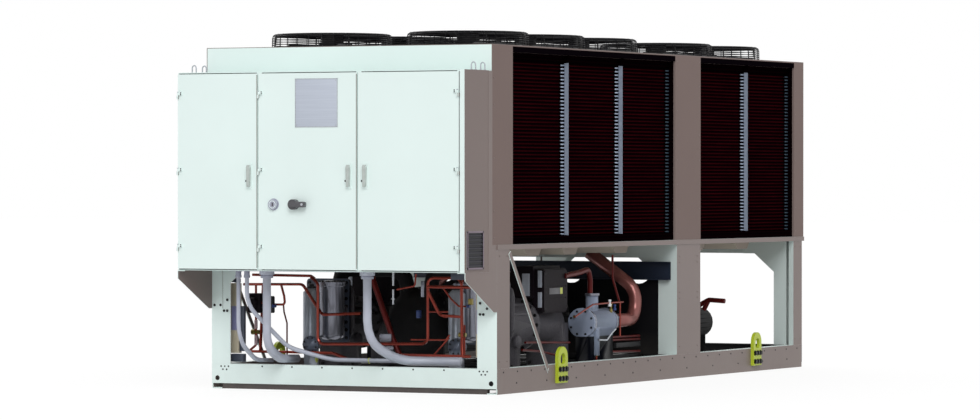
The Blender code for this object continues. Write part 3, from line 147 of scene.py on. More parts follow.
class Finish(Sheet):
    """A material that is worked out from Object coordinates, in metres."""

    def __init__(self, name, **constants):
        self.material = bpy.data.materials.new(name)
        self.material.use_nodes = True
        super().__init__(self.material.node_tree)
        self.shader = self.tree.nodes["Principled BSDF"]
        for key, value in constants.items():
            self.shader.inputs[key.replace("_", " ")].default_value = value
        self.place = self.add("ShaderNodeTexCoord", out="Object")
        axes = self.add("ShaderNodeSeparateXYZ", {}, {0: self.place})
        self.x, self.y, self.z = [axes.out(axis) for axis in "XYZ"]

    def noise(self, scale, detail=2.0, stretch=(1.0, 1.0, 1.0)):
        place = self.add("ShaderNodeMapping", {}, {"Vector": self.place, "Scale": stretch})
        return self.add("ShaderNodeTexNoise", {}, {"Vector": place, "Scale": scale, "Detail": detail})

    def mix(self, factor, *tones):
        """A mix of two tones, each a value, three numbers for srgb or four for the shader."""
        first, second = [srgb(*tone) if isinstance(tone, tuple) and len(tone) == 3 else tone
                         for tone in tones]
        return self.add("ShaderNodeMix", {"data_type": "RGBA"}, {0: factor, 6: first, 7: second}, 2)

    def drift(self, tone, depth=0.10):
        """A tone that slowly darkens and brightens over the surface."""
        return self.mix(self.noise(1.3, 3.0) * depth, tone, BLACK)

    def facing(self, axis):
        normal = self.add("ShaderNodeNewGeometry", out="Normal")
        return self.add("ShaderNodeSeparateXYZ", {}, {0: normal}).out(axis).size()

    def set(self, name, value):
        self.feed(self.shader.inputs[name], value)

    def tint(self, factor, first, second):
        self.set("Base Color", self.mix(factor, first, second))

    def bump(self, height, depth, strength):
        sockets = {"Height": height, "Distance": depth, "Strength": strength}
        self.set("Normal", self.add("ShaderNodeBump", {}, sockets))

    def grain(self, scale, depth, strength=0.3):
        self.bump(self.noise(scale, 1.0), depth, strength)


def speckled(name, first, second, scale, detail=2.0, stretch=(1.0, 1.0, 1.0), **constants):
    """A finish whose colour wanders between two tones."""
    finish = Finish(name, **constants)
    finish.tint(finish.noise(scale, detail, stretch), first, second)
    return finish


def powder_coat(name, end_tone, side_shade_tone=None, roughness=0.42, **constants):
    """Powder coat: orange peel, a slow tone drift, a little dust near the ground, painted shade on the sides.
    """
    coat = Finish(name, Roughness=roughness, **constants)
    shade = coat.mix(coat.facing("X") > SIDE_ON, end_tone, side_shade_tone or end_tone)
    low = (0.35 - coat.z).clamp() * coat.noise(9.0, 5.0) * 0.45
    coat.tint(low, coat.drift(shade), DUST)
    coat.set("Roughness", coat.noise(1.3, 3.0) * 0.12 + (roughness - 0.04))
    coat.grain(420.0, 0.0006, 0.25)
    return coat


def dress(finish, *names):
    """Give carried-over frame nodes their finish."""
    for name in names:
        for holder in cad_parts[name].material_slots:
            holder.material = finish.material


SIDES = ((1, "right"), (-1, "left"))


def both(name):
    return [name + "_" + side_name for _, side_name in SIDES]


FRAME_PAINT = powder_coat("frame_paint", PALE, SHADE_TAUPE)
# The trim paint is taupe all over, the pale paint's painted shade, for rail ends, flank closers and panel
# screws.
SHADE_TRIM_PAINT = powder_coat("trim_paint", SHADE_TAUPE)
BAY_SHADE_PAINT = powder_coat("bay_paint", BAY_SHADE_PALE, SHADE_TAUPE)
dress(FRAME_PAINT, "front_beam", "front_portal", "front_end_panel", "rear_end_panel")
dress(FRAME_PAINT, *both("side_beam"), *both("mid_rail"), *both("cabinet_bracket"))
# The middle and rear portals take the darkened pale, a painted shade.
dress(BAY_SHADE_PAINT, "mid_portal", "rear_portal")

GROUND_BLACK = Finish("satin_black_steel", Roughness=0.5, Specular_IOR_Level=0.3)
GROUND_BLACK.tint(GROUND_BLACK.noise(14.0, 4.0) * 0.5, (14, 14, 17), (48, 47, 50))
GROUND_BLACK.grain(300.0, 0.0005)
dress(GROUND_BLACK, "base_grid")

beam_low, beam_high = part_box("front_beam")
FRONT = beam_low[1]
HALF = beam_high[0]
BEAM_TOP = beam_high[2]
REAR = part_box("base_grid")[1][1]
RAIL_LOW, RAIL_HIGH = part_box("mid_rail_right")

# Screws and bolts. Zinc or black hex heads on washers hold every plate of the frame.
# One Geometry Nodes rule sets a head and its washer at each point, square to its face.


def rule(name, inputs):
    """Start a Geometry Nodes tree with a Geometry, a Material and other named inputs."""
    tree = bpy.data.node_groups.new(name, "GeometryNodeTree")
    for way in ("INPUT", "OUTPUT"):
        tree.interface.new_socket("Geometry", in_out=way, socket_type="NodeSocketGeometry")
    for label, kind in {"Material": "Material", **inputs}.items():
        tree.interface.new_socket(label, in_out="INPUT", socket_type="NodeSocket" + kind)
    sheet = Sheet(tree)
    return sheet, sheet.add("NodeGroupInput")


def tool(sheet, kind, settings=None, **sockets):
    """A geometry node, with underscores for the spaces in its sockets' names."""
    named = {name.replace("_", " "): value for name, value in sockets.items()}
    return sheet.add("GeometryNode" + kind, settings, named)


def upward(sheet, amount):
    return sheet.add("ShaderNodeCombineXYZ", {}, {"Z": amount})


def close_rule(sheet, given, shape):
    """End a tree in Realize Instances and Set Material."""
    real = tool(sheet, "RealizeInstances", Geometry=shape)
    painted = tool(sheet, "SetMaterial", Geometry=real, Material=given.out("Material"))
    sheet.feed(sheet.tree.nodes.new("NodeGroupOutput").inputs[0], painted)
    return sheet.tree


def joined(sheet, *shapes):
    node = sheet.tree.nodes.new("GeometryNodeJoinGeometry")
    for shape in shapes:
        sheet.feed(node.inputs[0], shape)
    return Value(sheet, node.outputs[0])


def screw_rule():
    sheet, given = rule("screws", {"Head Width": "Float", "Head Height": "Float", "Head Sides": "Int"})
    width = given.out("Head Width")
    height = given.out("Head Height")
    discs = []
    for sides, radius, depth in ((given.out("Head Sides"), width * 0.5, height),
                                 (12, width * 0.68, height * 0.3)):
        disc = tool(sheet, "MeshCylinder", Vertices=sides, Radius=radius, Depth=depth)
        discs.append(tool(sheet, "Transform", Geometry=disc, Translation=upward(sheet, depth * 0.5)))
    facing = tool(sheet, "InputNamedAttribute", {"data_type": "FLOAT_VECTOR"}, Name="facing")
    turn = sheet.add("FunctionNodeAlignRotationToVector", {"axis": "Z"}, {"Vector": facing})
    heads = joined(sheet, *discs)
    placed = tool(sheet, "InstanceOnPoints", Points=given, Instance=heads, Rotation=turn)
    return close_rule(sheet, given, placed)


def placed_object(name, data):
    thing = bpy.data.objects.new(name, data)
    bpy.context.scene.collection.objects.link(thing)
    return thing


def settle(thing, body="chassis", stands_for=()):
    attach(thing, body)
    if stands_for:
        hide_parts(*stands_for)


def grown(name, data, tree, sizes, body="chassis"):
    """Run a rule on mesh data and keep the result as the plain mesh of a finished piece."""
    host = placed_object(name, data)
    modifier = host.modifiers.new("rule", "NODES")
    modifier.node_group = tree
    for item in tree.interface.items_tree:
        if item.in_out == "INPUT" and item.name in sizes:
            modifier[item.identifier] = sizes[item.name]
    host.update_tag()
    graph = bpy.context.evaluated_depsgraph_get()
    data = bpy.data.meshes.new_from_object(host.evaluated_get(graph))
    host.modifiers.remove(modifier)
    host.data = data
    settle(host, body)


SCREWS = screw_rule()
BOLT_BLACK = speckled("black_bolt", (16, 16, 18), (44, 43, 44), 60.0, Roughness=0.38, Metallic=0.6)
AHEAD = (0, -1, 0)


def screws(name, places, width, height, body="chassis", sides=6, finish=BOLT_BLACK):
    """Heads at places, a list of points with the direction that each faces."""
    data = bpy.data.meshes.new(name)
    data.from_pydata([point for point, _ in places], [], [])
    facing = data.attributes.new("facing", "FLOAT_VECTOR", "POINT")
    for item, (_, way) in zip(facing.data, places):
        item.vector = way
    sizes = {"Head Width": width, "Head Height": height, "Head Sides": sides, "Material": finish.material}
    grown(name, data, SCREWS, sizes, body)


def spread(start, end, count):
    """Evenly spaced numbers from start to end."""
    return [start + (end - start) * step / (count - 1) for step in range(count)]


lug_bolts = []
for lug in ("lifting_lug_front_", "lifting_lug_rear_"):
    for side, side_name in SIDES:
        low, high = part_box(lug + side_name)
        middle = (low[1] + high[1]) / 2
        face = high[0] if side > 0 else low[0]
        lug_bolts += [((face, middle + shift, height), (side, 0, 0))
                      for height in (0.0755, 0.1415) for shift in (-0.050, 0.0, 0.050)]
screws("lug_bolts", lug_bolts, 0.030, 0.016)

beam_screws = []
for side in (-1, 1):
    for ends, count, drop in ((0.10, 25, 0.026), (0.30, 11, 0.105)):
        beam_screws += [((side * HALF, place, BEAM_TOP - drop), (side, 0, 0))
                        for place in spread(FRONT + ends, REAR - ends, count)]
for end, way in ((FRONT, -1), (REAR, 1)):
    for side in (-1, 1):
        for inset, height in ((0.135, 0.158), (0.105, 0.158), (0.075, 0.158), (0.120, 0.136), (0.090, 0.136)):
            beam_screws.append(((side * (HALF - inset), end, height), (0, way, 0)))
    beam_screws += [((place, end, BEAM_TOP - 0.014), (0, way, 0)) for place in spread(-0.72, 0.72, 7)]
screws("beam_screws", beam_screws, 0.009, 0.003)


def slab_into(shape, across, along, heights, bevel=0.0, side=1, start=FRONT):
    """A plate or bar from its spans in X, Y and Z, with Y counted from a start and X mirrored on the left."""
    spans = (sorted(side * x for x in across), sorted(start + y for y in along), sorted(heights))
    low, high = [Vector(corner) for corner in zip(*spans)]
    cube = bmesh.ops.create_cube(shape, size=1.0)["verts"]
    bmesh.ops.scale(shape, vec=high - low, verts=cube)
    bmesh.ops.translate(shape, vec=(low + high) / 2, verts=cube)
    if bevel:
        edges = list({edge for vert in cube for edge in vert.link_edges})
        bmesh.ops.bevel(shape, geom=edges, offset=bevel, segments=2, affect="EDGES", profile=0.5)


def slabs(*spans, side=1, start=FRONT):
    """A new bmesh of several slabs."""
    shape = bmesh.new()
    for span in spans:
        slab_into(shape, *span, side=side, start=start)
    return shape


def mesh_of(name, shape, smooth):
    """A bmesh as mesh data, smooth but for edges that turn more than an angle."""
    bmesh.ops.recalc_face_normals(shape, faces=shape.faces)
    data = bpy.data.meshes.new(name)
    shape.to_mesh(data)
    shape.free()
    data.shade_smooth()
    data.set_sharp_from_angle(angle=math.radians(smooth))
    return data


def piece(name, shape, finish, body="chassis", stands_for=(), smooth=35.0):
    """Turn a bmesh into a finished piece that rides on its body."""
    bmesh.ops.remove_doubles(shape, verts=shape.verts, dist=0.00001)
    data = mesh_of(name, shape, smooth)
    data.materials.append(finish.material)
    settle(placed_object(name, data), body, stands_for)


# Dark strips fill the gap under the front and rear beams: painted shadow of the ground under the base.
UNDER_BEAM_SHADE = powder_coat("skirt_paint", (66, 58, 58), roughness=0.6)
shade_fill = bmesh.new()
for end, along in ((FRONT, (0.012, 0.050)), (REAR, (-0.050, -0.012))):
    slab_into(shade_fill, (-HALF + 0.080, HALF - 0.080), along, (0.0005, 0.0375), start=end)
piece("beam_shade_strip", shade_fill, UNDER_BEAM_SHADE)
rail_ends = bmesh.new()
for side in (-1, 1):
    for end, along in ((RAIL_LOW[1], (-0.0012, 0.0008)), (RAIL_HIGH[1], (-0.0008, 0.0012))):
        slab_into(rail_ends, (HALF - 0.060, RAIL_HIGH[0]), along, (RAIL_LOW[2], RAIL_HIGH[2]), 0.0004,
                  side, end)
piece("rail_ends", rail_ends, SHADE_TRIM_PAINT)

# Lifting lugs. Laser-cut plate painted lime, with a round head and a long eye for the
# shackle. The paint is worn to a duller tone in small patches.

LIME = Finish("lime_paint", Roughness=0.4)
LIME.tint((LIME.noise(38.0, 6.0) - 0.62).clamp() * 2.0, (178, 194, 44), (114, 122, 46))
LIME.grain(300.0, 0.0005)
dress(LIME, *both("lifting_lug_front"), *both("lifting_lug_rear"))

# Plenum floor. A thin sheet under the coils, with folded troughs that carry the
# condensate, under a warm grey coat with a darker painted shade on the troughs' sides.

FLOOR_PAINT = powder_coat("floor_paint", (196, 186, 172), (150, 138, 128), 0.55)
dress(FLOOR_PAINT, "plenum_floor")

# Cross channel. A navy C section bolted across the middle portal, behind the
# machines. Its faces that look sideways get a nearly black painted shade.

NAVY = powder_coat("navy_paint", (30, 38, 54), (18, 24, 38), 0.4, Specular_IOR_Level=0.3)
dress(NAVY, "cross_channel")

# Coils. Copper tubes run level through coated fins, five sections a side. Between sections a steel
# plate stands out past the fins, and the tubes' return bends show at the end of each.

COIL_FACE = HALF - 0.085
FIN_PITCH = 0.0064
TUBE_PITCH = 0.0254
TUBE_RADIUS = 0.0048
BEND_RADIUS = 0.0058
COIL_SPLITS = ((0.243, 1.164, 2.063, 2.943), (3.400, 4.327, 5.192))

# The coil frame is taupe all over, a painted shade of the pale paint. Over the coil windows a band of the
# rail under the deck is painted near black.
CASE_SHADE_PAINT = powder_coat("coil_case_paint", SHADE_TAUPE, Specular_IOR_Level=0.0)
on_rail = CASE_SHADE_PAINT.z.between(2.318, 2.394) * (CASE_SHADE_PAINT.x.size() > HALF - 0.030)
windows = [CASE_SHADE_PAINT.y.between(FRONT + splits[0], FRONT + splits[-1]) for splits in COIL_SPLITS]
CASE_SHADE_PAINT.tint(on_rail * (windows[0] + windows[1]), CASE_SHADE_PAINT.drift((132, 117, 113)), (10, 6, 10))
dress(CASE_SHADE_PAINT, *both("coil_frame"))

FINS = Finish("coated_fins", Roughness=0.55, Specular_IOR_Level=0.0)
tube_rows = (FINS.z * (2 * math.pi / TUBE_PITCH)).wave()
fin_tone = FINS.mix(FINS.noise(3.0, 4.0, (1.0, 0.4, 2.5)), (2, 1, 2), (9, 2, 4))
FINS.tint((tube_rows - 0.55).clamp(), fin_tone, (24, 4, 8))
FINS.bump((FINS.y * (2 * math.pi / FIN_PITCH)).wave(), 0.0012, 0.5)
dress(FINS, *both("coil_bank_front"), *both("coil_bank_rear"))

TUBES = speckled("coated_tube", (13, 2, 5), (60, 8, 15), 5.0, 3.0, (1.0, 0.5, 6.0),
                 Roughness=0.42, Specular_IOR_Level=0.0)
TUBE_SHEET = Finish("galvanised_plate", Metallic=0.35)
spangle = TUBE_SHEET.noise(55.0, 4.0)
# Plates and bends just behind the middle posts and at the rear end get a dark blue painted shade, where the
# posts shade them.
shaded = TUBE_SHEET.y.between(FRONT + 2.880, FRONT + 3.0) + (TUBE_SHEET.y > FRONT + 5.130)
TUBE_SHEET.tint(shaded, TUBE_SHEET.mix(spangle, (134, 150, 172), (176, 184, 200)), (44, 62, 76))
TUBE_SHEET.set("Roughness", spangle * 0.25 + 0.35)


def repeat_rule():
    sheet, given = rule("repeat", {"Copies": "Int", "Step": "Vector"})
    line = tool(sheet, "MeshLine", {"mode": "OFFSET"}, Count=given.out("Copies"), Offset=given.out("Step"))
    return close_rule(sheet, given, tool(sheet, "InstanceOnPoints", Points=line, Instance=given))


REPEAT = repeat_rule()


def bridge(shape, first, second):
    """Faces between two rings of vertices. A ring of one vertex is a tip."""
    for step in range(max(len(first), len(second))):
        corners = [ring[place % len(ring)] for ring, place in
                   ((first, step), (first, step + 1), (second, step + 1), (second, step))]
        kept = list(dict.fromkeys(corners))
        if len(kept) > 2:
            shape.faces.new(kept)


def tube_into(shape, points, radius, sides=10):
    """Sweep a round section along points, with a cap at each end."""
    points = [Vector(point) for point in points]
    rings = []
    for index, point in enumerate(points):
        along = (points[min(index + 1, len(points) - 1)] - points[max(index - 1, 0)]).normalized()
        if not rings:
            side_way = along.orthogonal().normalized()
        side_way = (side_way - along * side_way.dot(along)).normalized()
        other = along.cross(side_way)
        ring = []
        for step in range(sides):
            angle = 2 * math.pi * step / sides
            way = side_way * math.cos(angle) + other * math.sin(angle)
            ring.append(shape.verts.new(point + way * radius))
        rings.append(ring)
    for first, second in zip(rings, rings[1:]):
        bridge(shape, first, second)
    shape.faces.new(reversed(rings[0]))
    shape.faces.new(rings[-1])


def repeated(name, shape, finish):
    """Copies of a bmesh at each row of tubes, by the repeat rule."""
    sizes = {"Copies": TUBE_COUNT, "Step": (0.0, 0.0, TUBE_PITCH), "Material": finish.material}
    grown(name, mesh_of(name, shape, 40), REPEAT, sizes)


bank_low, bank_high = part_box("coil_bank_front_right")
COIL_LOW = bank_low[2]
COIL_HIGH = bank_high[2]
TUBE_FIRST = COIL_LOW + 0.062
TUBE_COUNT = int((COIL_HIGH - COIL_LOW - 0.118) / TUBE_PITCH) + 1
for side, side_name in SIDES:
    runs, bends, plates = bmesh.new(), bmesh.new(), bmesh.new()
    face = side * (COIL_FACE + 0.001)
    for splits in COIL_SPLITS:
        for start, end in zip(splits, splits[1:]):
            near = FRONT + start + 0.006
            far = FRONT + end - 0.006
            tube_into(runs, ((face, near, TUBE_FIRST), (face, far, TUBE_FIRST)), TUBE_RADIUS, 6)
            for edge, way in ((near, 1), (far, -1)):
                bend = [(side * (COIL_FACE + 0.020 - 0.011 * math.cos(angle)),
                         edge + way * 0.022 * math.sin(angle), TUBE_FIRST)
                        for angle in spread(0.0, math.pi, 5)]
                tube_into(bends, bend, BEND_RADIUS, 6)
        for split in splits[1:-1]:
            slab_into(plates, (HALF - 0.048, HALF - 0.017), (-0.002, 0.0),
                      (COIL_LOW + 0.055, COIL_HIGH - 0.055), side=side, start=FRONT + split - 0.0055)
    repeated("coil_tubes_" + side_name, runs, TUBES)
    repeated("coil_bends_" + side_name, bends, TUBE_SHEET)
    piece("coil_plates_" + side_name, plates, TUBE_SHEET)

# Fan guards. Black wire baskets over the fans: level rings on upright and radial wires, made by one
# rule from the profile of a single wire. The deck under them has a taupe painted shade, and the rotors are
# black.

DECK_TOP = 2.404
GUARD_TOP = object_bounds()[1][2] - 0.004
GUARD_REACH = 0.431
FAN_ACROSS = 0.545
FAN_ROWS = (0.704, 1.614, 2.503, 3.864, 4.766)

# The deck is painted taupe, the pale paint's painted shade. Above it the guards are black.
DECK = Finish("deck_and_guard", Roughness=0.45)
DECK.tint((DECK.z - (DECK_TOP + 0.0005)) * 4000.0, DECK.drift(SHADE_TAUPE, 0.12), (14, 14, 17))
dress(DECK, *["fan_deck_%d" % number for number in range(1, 6)])

FAN_BLACK = speckled("fan_black", (14, 14, 17), (36, 36, 40), 12.0, 4.0,
                     Roughness=0.42, Specular_IOR_Level=0.3)
for number in range(1, 6):
    dress(FAN_BLACK, "fan_rotor_right_%d" % number, "fan_rotor_left_%d" % number)
WIRE_BLACK = speckled("coated_wire", (6, 6, 10), (18, 18, 24), 40.0, 3.0,
                      Roughness=0.35, Specular_IOR_Level=0.12)


def guard_rule():
    inputs = {"Wires": "Int", "Rings": "Int", "Wire Radius": "Float", "Centre": "Vector"}
    sheet, given = rule("wire_guard", inputs)
    by_radius = {"mode": "RADIUS"}
    wire = tool(sheet, "CurvePrimitiveCircle", by_radius, Resolution=4, Radius=given.out("Wire Radius"))
    route = tool(sheet, "MeshToCurve", Mesh=given)
    upright = tool(sheet, "CurveToMesh", Curve=route, Profile_Curve=wire)
    line = tool(sheet, "MeshLine", {"mode": "OFFSET"}, Count=given.out("Wires"), Offset=(0.0, 0.0, 0.0))
    index = tool(sheet, "InputIndex")
    spin = upward(sheet, index.maths("DIVIDE", index * (2 * math.pi), given.out("Wires")))
    wires = tool(sheet, "InstanceOnPoints", Points=line, Instance=upright, Rotation=spin)
    knots = tool(sheet, "CurveToPoints", {"mode": "COUNT"}, Curve=route, Count=given.out("Rings"))
    place = sheet.add("ShaderNodeSeparateXYZ", {}, {0: tool(sheet, "InputPosition")})
    marked = tool(sheet, "StoreNamedAttribute", {"data_type": "FLOAT", "domain": "POINT"},
                  Geometry=knots, Name="reach", Value=place)
    centred = tool(sheet, "SetPosition", Geometry=marked, Position=upward(sheet, place.out("Z")))
    reach = tool(sheet, "InputNamedAttribute", {"data_type": "FLOAT"}, Name="reach")
    circle = tool(sheet, "CurvePrimitiveCircle", by_radius, Resolution=48, Radius=1.0)
    rings = tool(sheet, "InstanceOnPoints", Points=centred, Instance=circle, Scale=reach)
    rings = tool(sheet, "RealizeInstances", Geometry=rings)
    rings = tool(sheet, "CurveToMesh", Curve=rings, Profile_Curve=wire)
    basket = joined(sheet, wires, rings)
    placed = tool(sheet, "Transform", Geometry=basket, Translation=given.out("Centre"))
    return close_rule(sheet, given, placed)


GUARD = guard_rule()
guard_rise = GUARD_TOP - DECK_TOP
wire_profile = [(GUARD_REACH, 0.0), (GUARD_REACH - 0.002, guard_rise - 0.028),
                (GUARD_REACH - 0.008, guard_rise - 0.010), (GUARD_REACH - 0.024, guard_rise),
                (0.085, guard_rise)]
wire_edges = [(step, step + 1) for step in range(len(wire_profile) - 1)]
for number, row in enumerate(FAN_ROWS, start=1):
    for side, side_name in SIDES:
        name = "fan_guard_%s_%d" % (side_name, number)
        data = bpy.data.meshes.new(name)
        data.from_pydata([(reach, 0.0, rise) for reach, rise in wire_profile], wire_edges, [])
        sizes = {"Wires": 30, "Rings": 29, "Wire Radius": 0.0028, "Material": WIRE_BLACK.material,
                 "Centre": (side * FAN_ACROSS, FRONT + row, DECK_TOP)}
        grown(name, data, GUARD, sizes)

# Electrical cabinet. A pale steel box with three tray doors on lift-off hinges. Its flanks get a taupe
# painted shade, the right one a louvre darkened by painted shade, and the roof has lifting eyes at each end.

DOOR_FACE = FRONT - 0.485
cabinet_low, cabinet_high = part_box("cabinet_body")
CABINET_LOW = cabinet_low[2]
CABINET_ROOF = cabinet_high[2]
CABINET_MIDDLE = (CABINET_LOW + CABINET_ROOF) / 2
VENT_LOW = CABINET_LOW + 0.022
VENT_FACE = cabinet_high[0]

CABINET_PAINT = Finish("cabinet_paint", Roughness=0.42, Specular_IOR_Level=0.3)
# Inside the louvre the paint turns dark blue-grey: painted shade between the blades.
louvre_shade = (CABINET_PAINT.x > VENT_FACE - 0.0078) * CABINET_PAINT.z.between(VENT_LOW + 0.012, VENT_LOW + 0.248)
louvre_shade *= CABINET_PAINT.y.between(DOOR_FACE + 0.041, DOOR_FACE + 0.261)
# Faces that look sideways get the taupe painted shade.
case_side_shade = CABINET_PAINT.mix(CABINET_PAINT.facing("X") > SIDE_ON, PALE, SHADE_TAUPE)
CABINET_PAINT.tint(louvre_shade, CABINET_PAINT.drift(case_side_shade), (24, 24, 36))
CABINET_PAINT.grain(420.0, 0.0006, 0.25)
dress(CABINET_PAINT, "cabinet_body")

DARK_PLASTIC = speckled("dark_plastic", (62, 62, 66), (92, 91, 95), 80.0, Roughness=0.35)
DARK_PLASTIC.grain(500.0, 0.0004)
dress(DARK_PLASTIC, "isolator_handle")

DOOR = "cabinet_door_"
DOOR_BOXES = {door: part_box(DOOR + door) for door in ("left", "middle", "right")}
DOOR_PAINT = powder_coat("door_paint", PALE)
dress(DOOR_PAINT, *[DOOR + door for door in DOOR_BOXES])


def turned_into(shape, profile, centre, axis="Z", sides=32):
    """Revolve a profile of radius and distance pairs about an axis through a centre."""
    shift = "ZXY".index(axis)
    rings = []
    for radius, along in profile:
        ring = []
        for step in range(sides if radius else 1):
            angle = 2 * math.pi * step / sides
            spun = (radius * math.cos(angle), radius * math.sin(angle), along)
            place = Vector([spun[(index - shift) % 3] for index in range(3)])
            ring.append(shape.verts.new(Vector(centre) + place))
        rings.append(ring)
    for first, second in zip(rings, rings[1:]):
        bridge(shape, first, second)
    return shape


def drum(radius, depth):
    """The profile of a plain disc."""
    return (0.0, 0.0), (radius, 0.0), (radius, depth), (0.0, depth)


def plate_into(shape, outline, start, end):
    """An outline in X and Z, pushed along Y."""
    loops = [[shape.verts.new((x, along, z)) for x, z in outline] for along in (start, end)]
    for loop in loops:
        shape.faces.new(loop)
    bridge(shape, *loops)
    return shape


HANDLE_Z = CABINET_MIDDLE - 0.032
HANDLE_INSET = 0.060
MIDDLE_LEFT = DOOR_BOXES["middle"][0][0]
ISOLATOR_X = MIDDLE_LEFT + 0.290
ISOLATOR_Z = 1.304
LEVER_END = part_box("isolator_handle")[1][0]

HANDLE_PALE = speckled("handle_paint", (166, 174, 170), (194, 202, 198), 40.0, Roughness=0.35)
grip_outline = ((-0.009, -0.0745), (0.009, -0.0745), (0.0136, 0.060), (0.0075, 0.0755), (-0.0075, 0.0755),
                (-0.0136, 0.060))
for door, edge, way in (("left", 1, -1), ("middle", 1, -1), ("right", 0, 1)):
    middle = DOOR_BOXES[door][edge][0] + way * HANDLE_INSET
    outline = [(middle + x, HANDLE_Z + z) for x, z in grip_outline]
    grip = plate_into(bmesh.new(), outline, DOOR_FACE - 0.0308, DOOR_FACE - 0.004)
    turned_into(grip, ((0.0, 0.0), (0.009, 0.0), (0.0105, 0.0015), (0.0105, 0.003)),
                (middle, DOOR_FACE - 0.0325, HANDLE_Z + 0.052), "Y", 20)
    piece("swing_handle_" + door, grip, HANDLE_PALE, DOOR + door, smooth=30.0)
    lock = bmesh.new()
    turned_into(lock, ((0.0, 0.0), (0.0062, 0.0), (0.0072, 0.001), (0.0072, 0.003), (0.0, 0.003)),
                (middle - 0.0290, DOOR_FACE - 0.0029, HANDLE_Z - 0.034), "Y", 20)
    piece("handle_lock_" + door, lock, GROUND_BLACK, DOOR + door)

BRIGHT = speckled("bright_zinc", (150, 154, 160), (206, 210, 216), 120.0, 3.0, Roughness=0.28, Metallic=0.85)
for door, edge, side in (("left", 0, -1), ("middle", 0, -1), ("right", 1, 1)):
    pin = DOOR_BOXES[door][edge][0] - side * 0.006
    far = pin - side * 0.029
    caps, leaves, fixings = bmesh.new(), bmesh.new(), []
    for height in (CABINET_LOW + 0.159, CABINET_MIDDLE, CABINET_ROOF - 0.159):
        turned_into(caps, ((0.0, 0.0), (0.0045, 0.001), (0.0066, 0.0035), (0.0066, 0.008)),
                    (pin, DOOR_FACE - 0.010, height + 0.0175), "Z", 16)
        slab_into(leaves, (pin, far), (-0.0098, -0.0005), (height + 0.001, height + 0.0245), 0.0015,
                  start=DOOR_FACE)
        fixings += [((far + side * 0.006, DOOR_FACE - 0.0098, height + rise), AHEAD)
                    for rise in (0.007, 0.0185)]
    piece("hinge_caps_" + door, caps, BRIGHT, DOOR + door)
    piece("hinge_leaves_" + door, leaves, DOOR_PAINT, DOOR + door)
    screws("hinge_screws_" + door, fixings, 0.007, 0.002, DOOR + door, 8)

LABEL_GREY = speckled("brushed_label", (176, 183, 197), (196, 203, 215), 160.0, 3.0, (0.02, 1.0, 1.0),
                      Roughness=0.4, Metallic=0.3)
plate = slabs(((-0.177, 0.146), (-0.0022, -0.0002), (1.840, 2.165), 0.0008), start=DOOR_FACE)
piece("door_plate", plate, LABEL_GREY, DOOR + "middle")
bars = slabs(*[(across, (-0.0034, -0.0002), heights, 0.0006) for across, heights in
               (((-0.182, 0.151), (1.835, 1.840)), ((-0.182, 0.151), (2.165, 2.170)),
                ((-0.182, -0.177), (1.835, 2.170)), ((0.146, 0.151), (1.835, 2.170)))], start=DOOR_FACE)
piece("door_plate_frame", bars, BRIGHT, DOOR + "middle")
corners = [((x, DOOR_FACE - 0.0022, z), AHEAD) for x in (-0.168, 0.137) for z in (1.849, 2.156)]
screws("door_plate_screws", corners, 0.006, 0.002, DOOR + "middle", 8, BRIGHT)

KNOB_GREY = speckled("lilac_knob", (146, 148, 166), (172, 174, 190), 70.0, Roughness=0.32)
knob = ((0.0, -0.0235), (0.020, -0.0235), (0.024, -0.0205), (0.0275, -0.0225), (0.0335, -0.0225),
        (0.0355, -0.020), (0.0355, -0.004), (0.041, -0.003), (0.041, 0.0), (0.0, 0.0))
piece("round_knob", turned_into(bmesh.new(), knob, (MIDDLE_LEFT + 0.122, DOOR_FACE, ISOLATOR_Z), "Y", 40),
      KNOB_GREY, DOOR + "middle")
pointer = slabs(((MIDDLE_LEFT + 0.119, MIDDLE_LEFT + 0.131), (-0.0262, -0.0230),
                 (ISOLATOR_Z - 0.012, ISOLATOR_Z + 0.012), 0.002), start=DOOR_FACE)
piece("knob_pointer", pointer, DARK_PLASTIC, DOOR + "middle")

hub = ((0.0, -0.0640), (0.007, -0.0640), (0.009, -0.0628), (0.009, -0.060), (0.0, -0.060))
piece("isolator_hub", turned_into(bmesh.new(), hub, (LEVER_END - 0.014, DOOR_FACE, ISOLATOR_Z), "Y", 28),
      BRIGHT, "isolator_handle")
sleeve = slabs(((ISOLATOR_X - 0.010, LEVER_END + 0.004), (-0.0618, -0.0240),
                (ISOLATOR_Z - 0.0195, ISOLATOR_Z + 0.0195), 0.008), start=DOOR_FACE)
piece("lever_sleeve", sleeve, DARK_PLASTIC, "isolator_handle")

EYE_HALF = 0.016
EYE_SHOULDER = CABINET_ROOF + 0.034
eyes = bmesh.new()
for side in (-1, 1):
    x = side * (HALF - 0.030)
    feet = (x - EYE_HALF, x + EYE_HALF)
    for y in (DOOR_FACE + 0.190, DOOR_FACE + 0.330):
        loop = [(feet[0], y, CABINET_ROOF), (feet[0], y, EYE_SHOULDER)]
        for step in range(1, 8):
            angle = math.pi * (1 - step / 8)
            loop.append((x + EYE_HALF * math.cos(angle), y, EYE_SHOULDER + 0.020 * math.sin(angle)))
        loop += [(feet[1], y, EYE_SHOULDER), (feet[1], y, CABINET_ROOF)]
        tube_into(eyes, loop, 0.0048)
        for foot in feet:
            turned_into(eyes, drum(0.010, 0.004), (foot, y, CABINET_ROOF), "Z", 16)
piece("roof_eyes", eyes, BRIGHT)

closing = bmesh.new()
for side in (-1, 1):
    for along, heights in (((-0.130, -0.0703), (CABINET_LOW, CABINET_ROOF - 0.002)),
                           ((-0.0703, -0.0004), (RAIL_LOW[2], RAIL_HIGH[2]))):
        slab_into(closing, (HALF - 0.006, HALF + 0.0003), along, heights, 0.0, side)
piece("flank_closers", closing, SHADE_TRIM_PAINT)

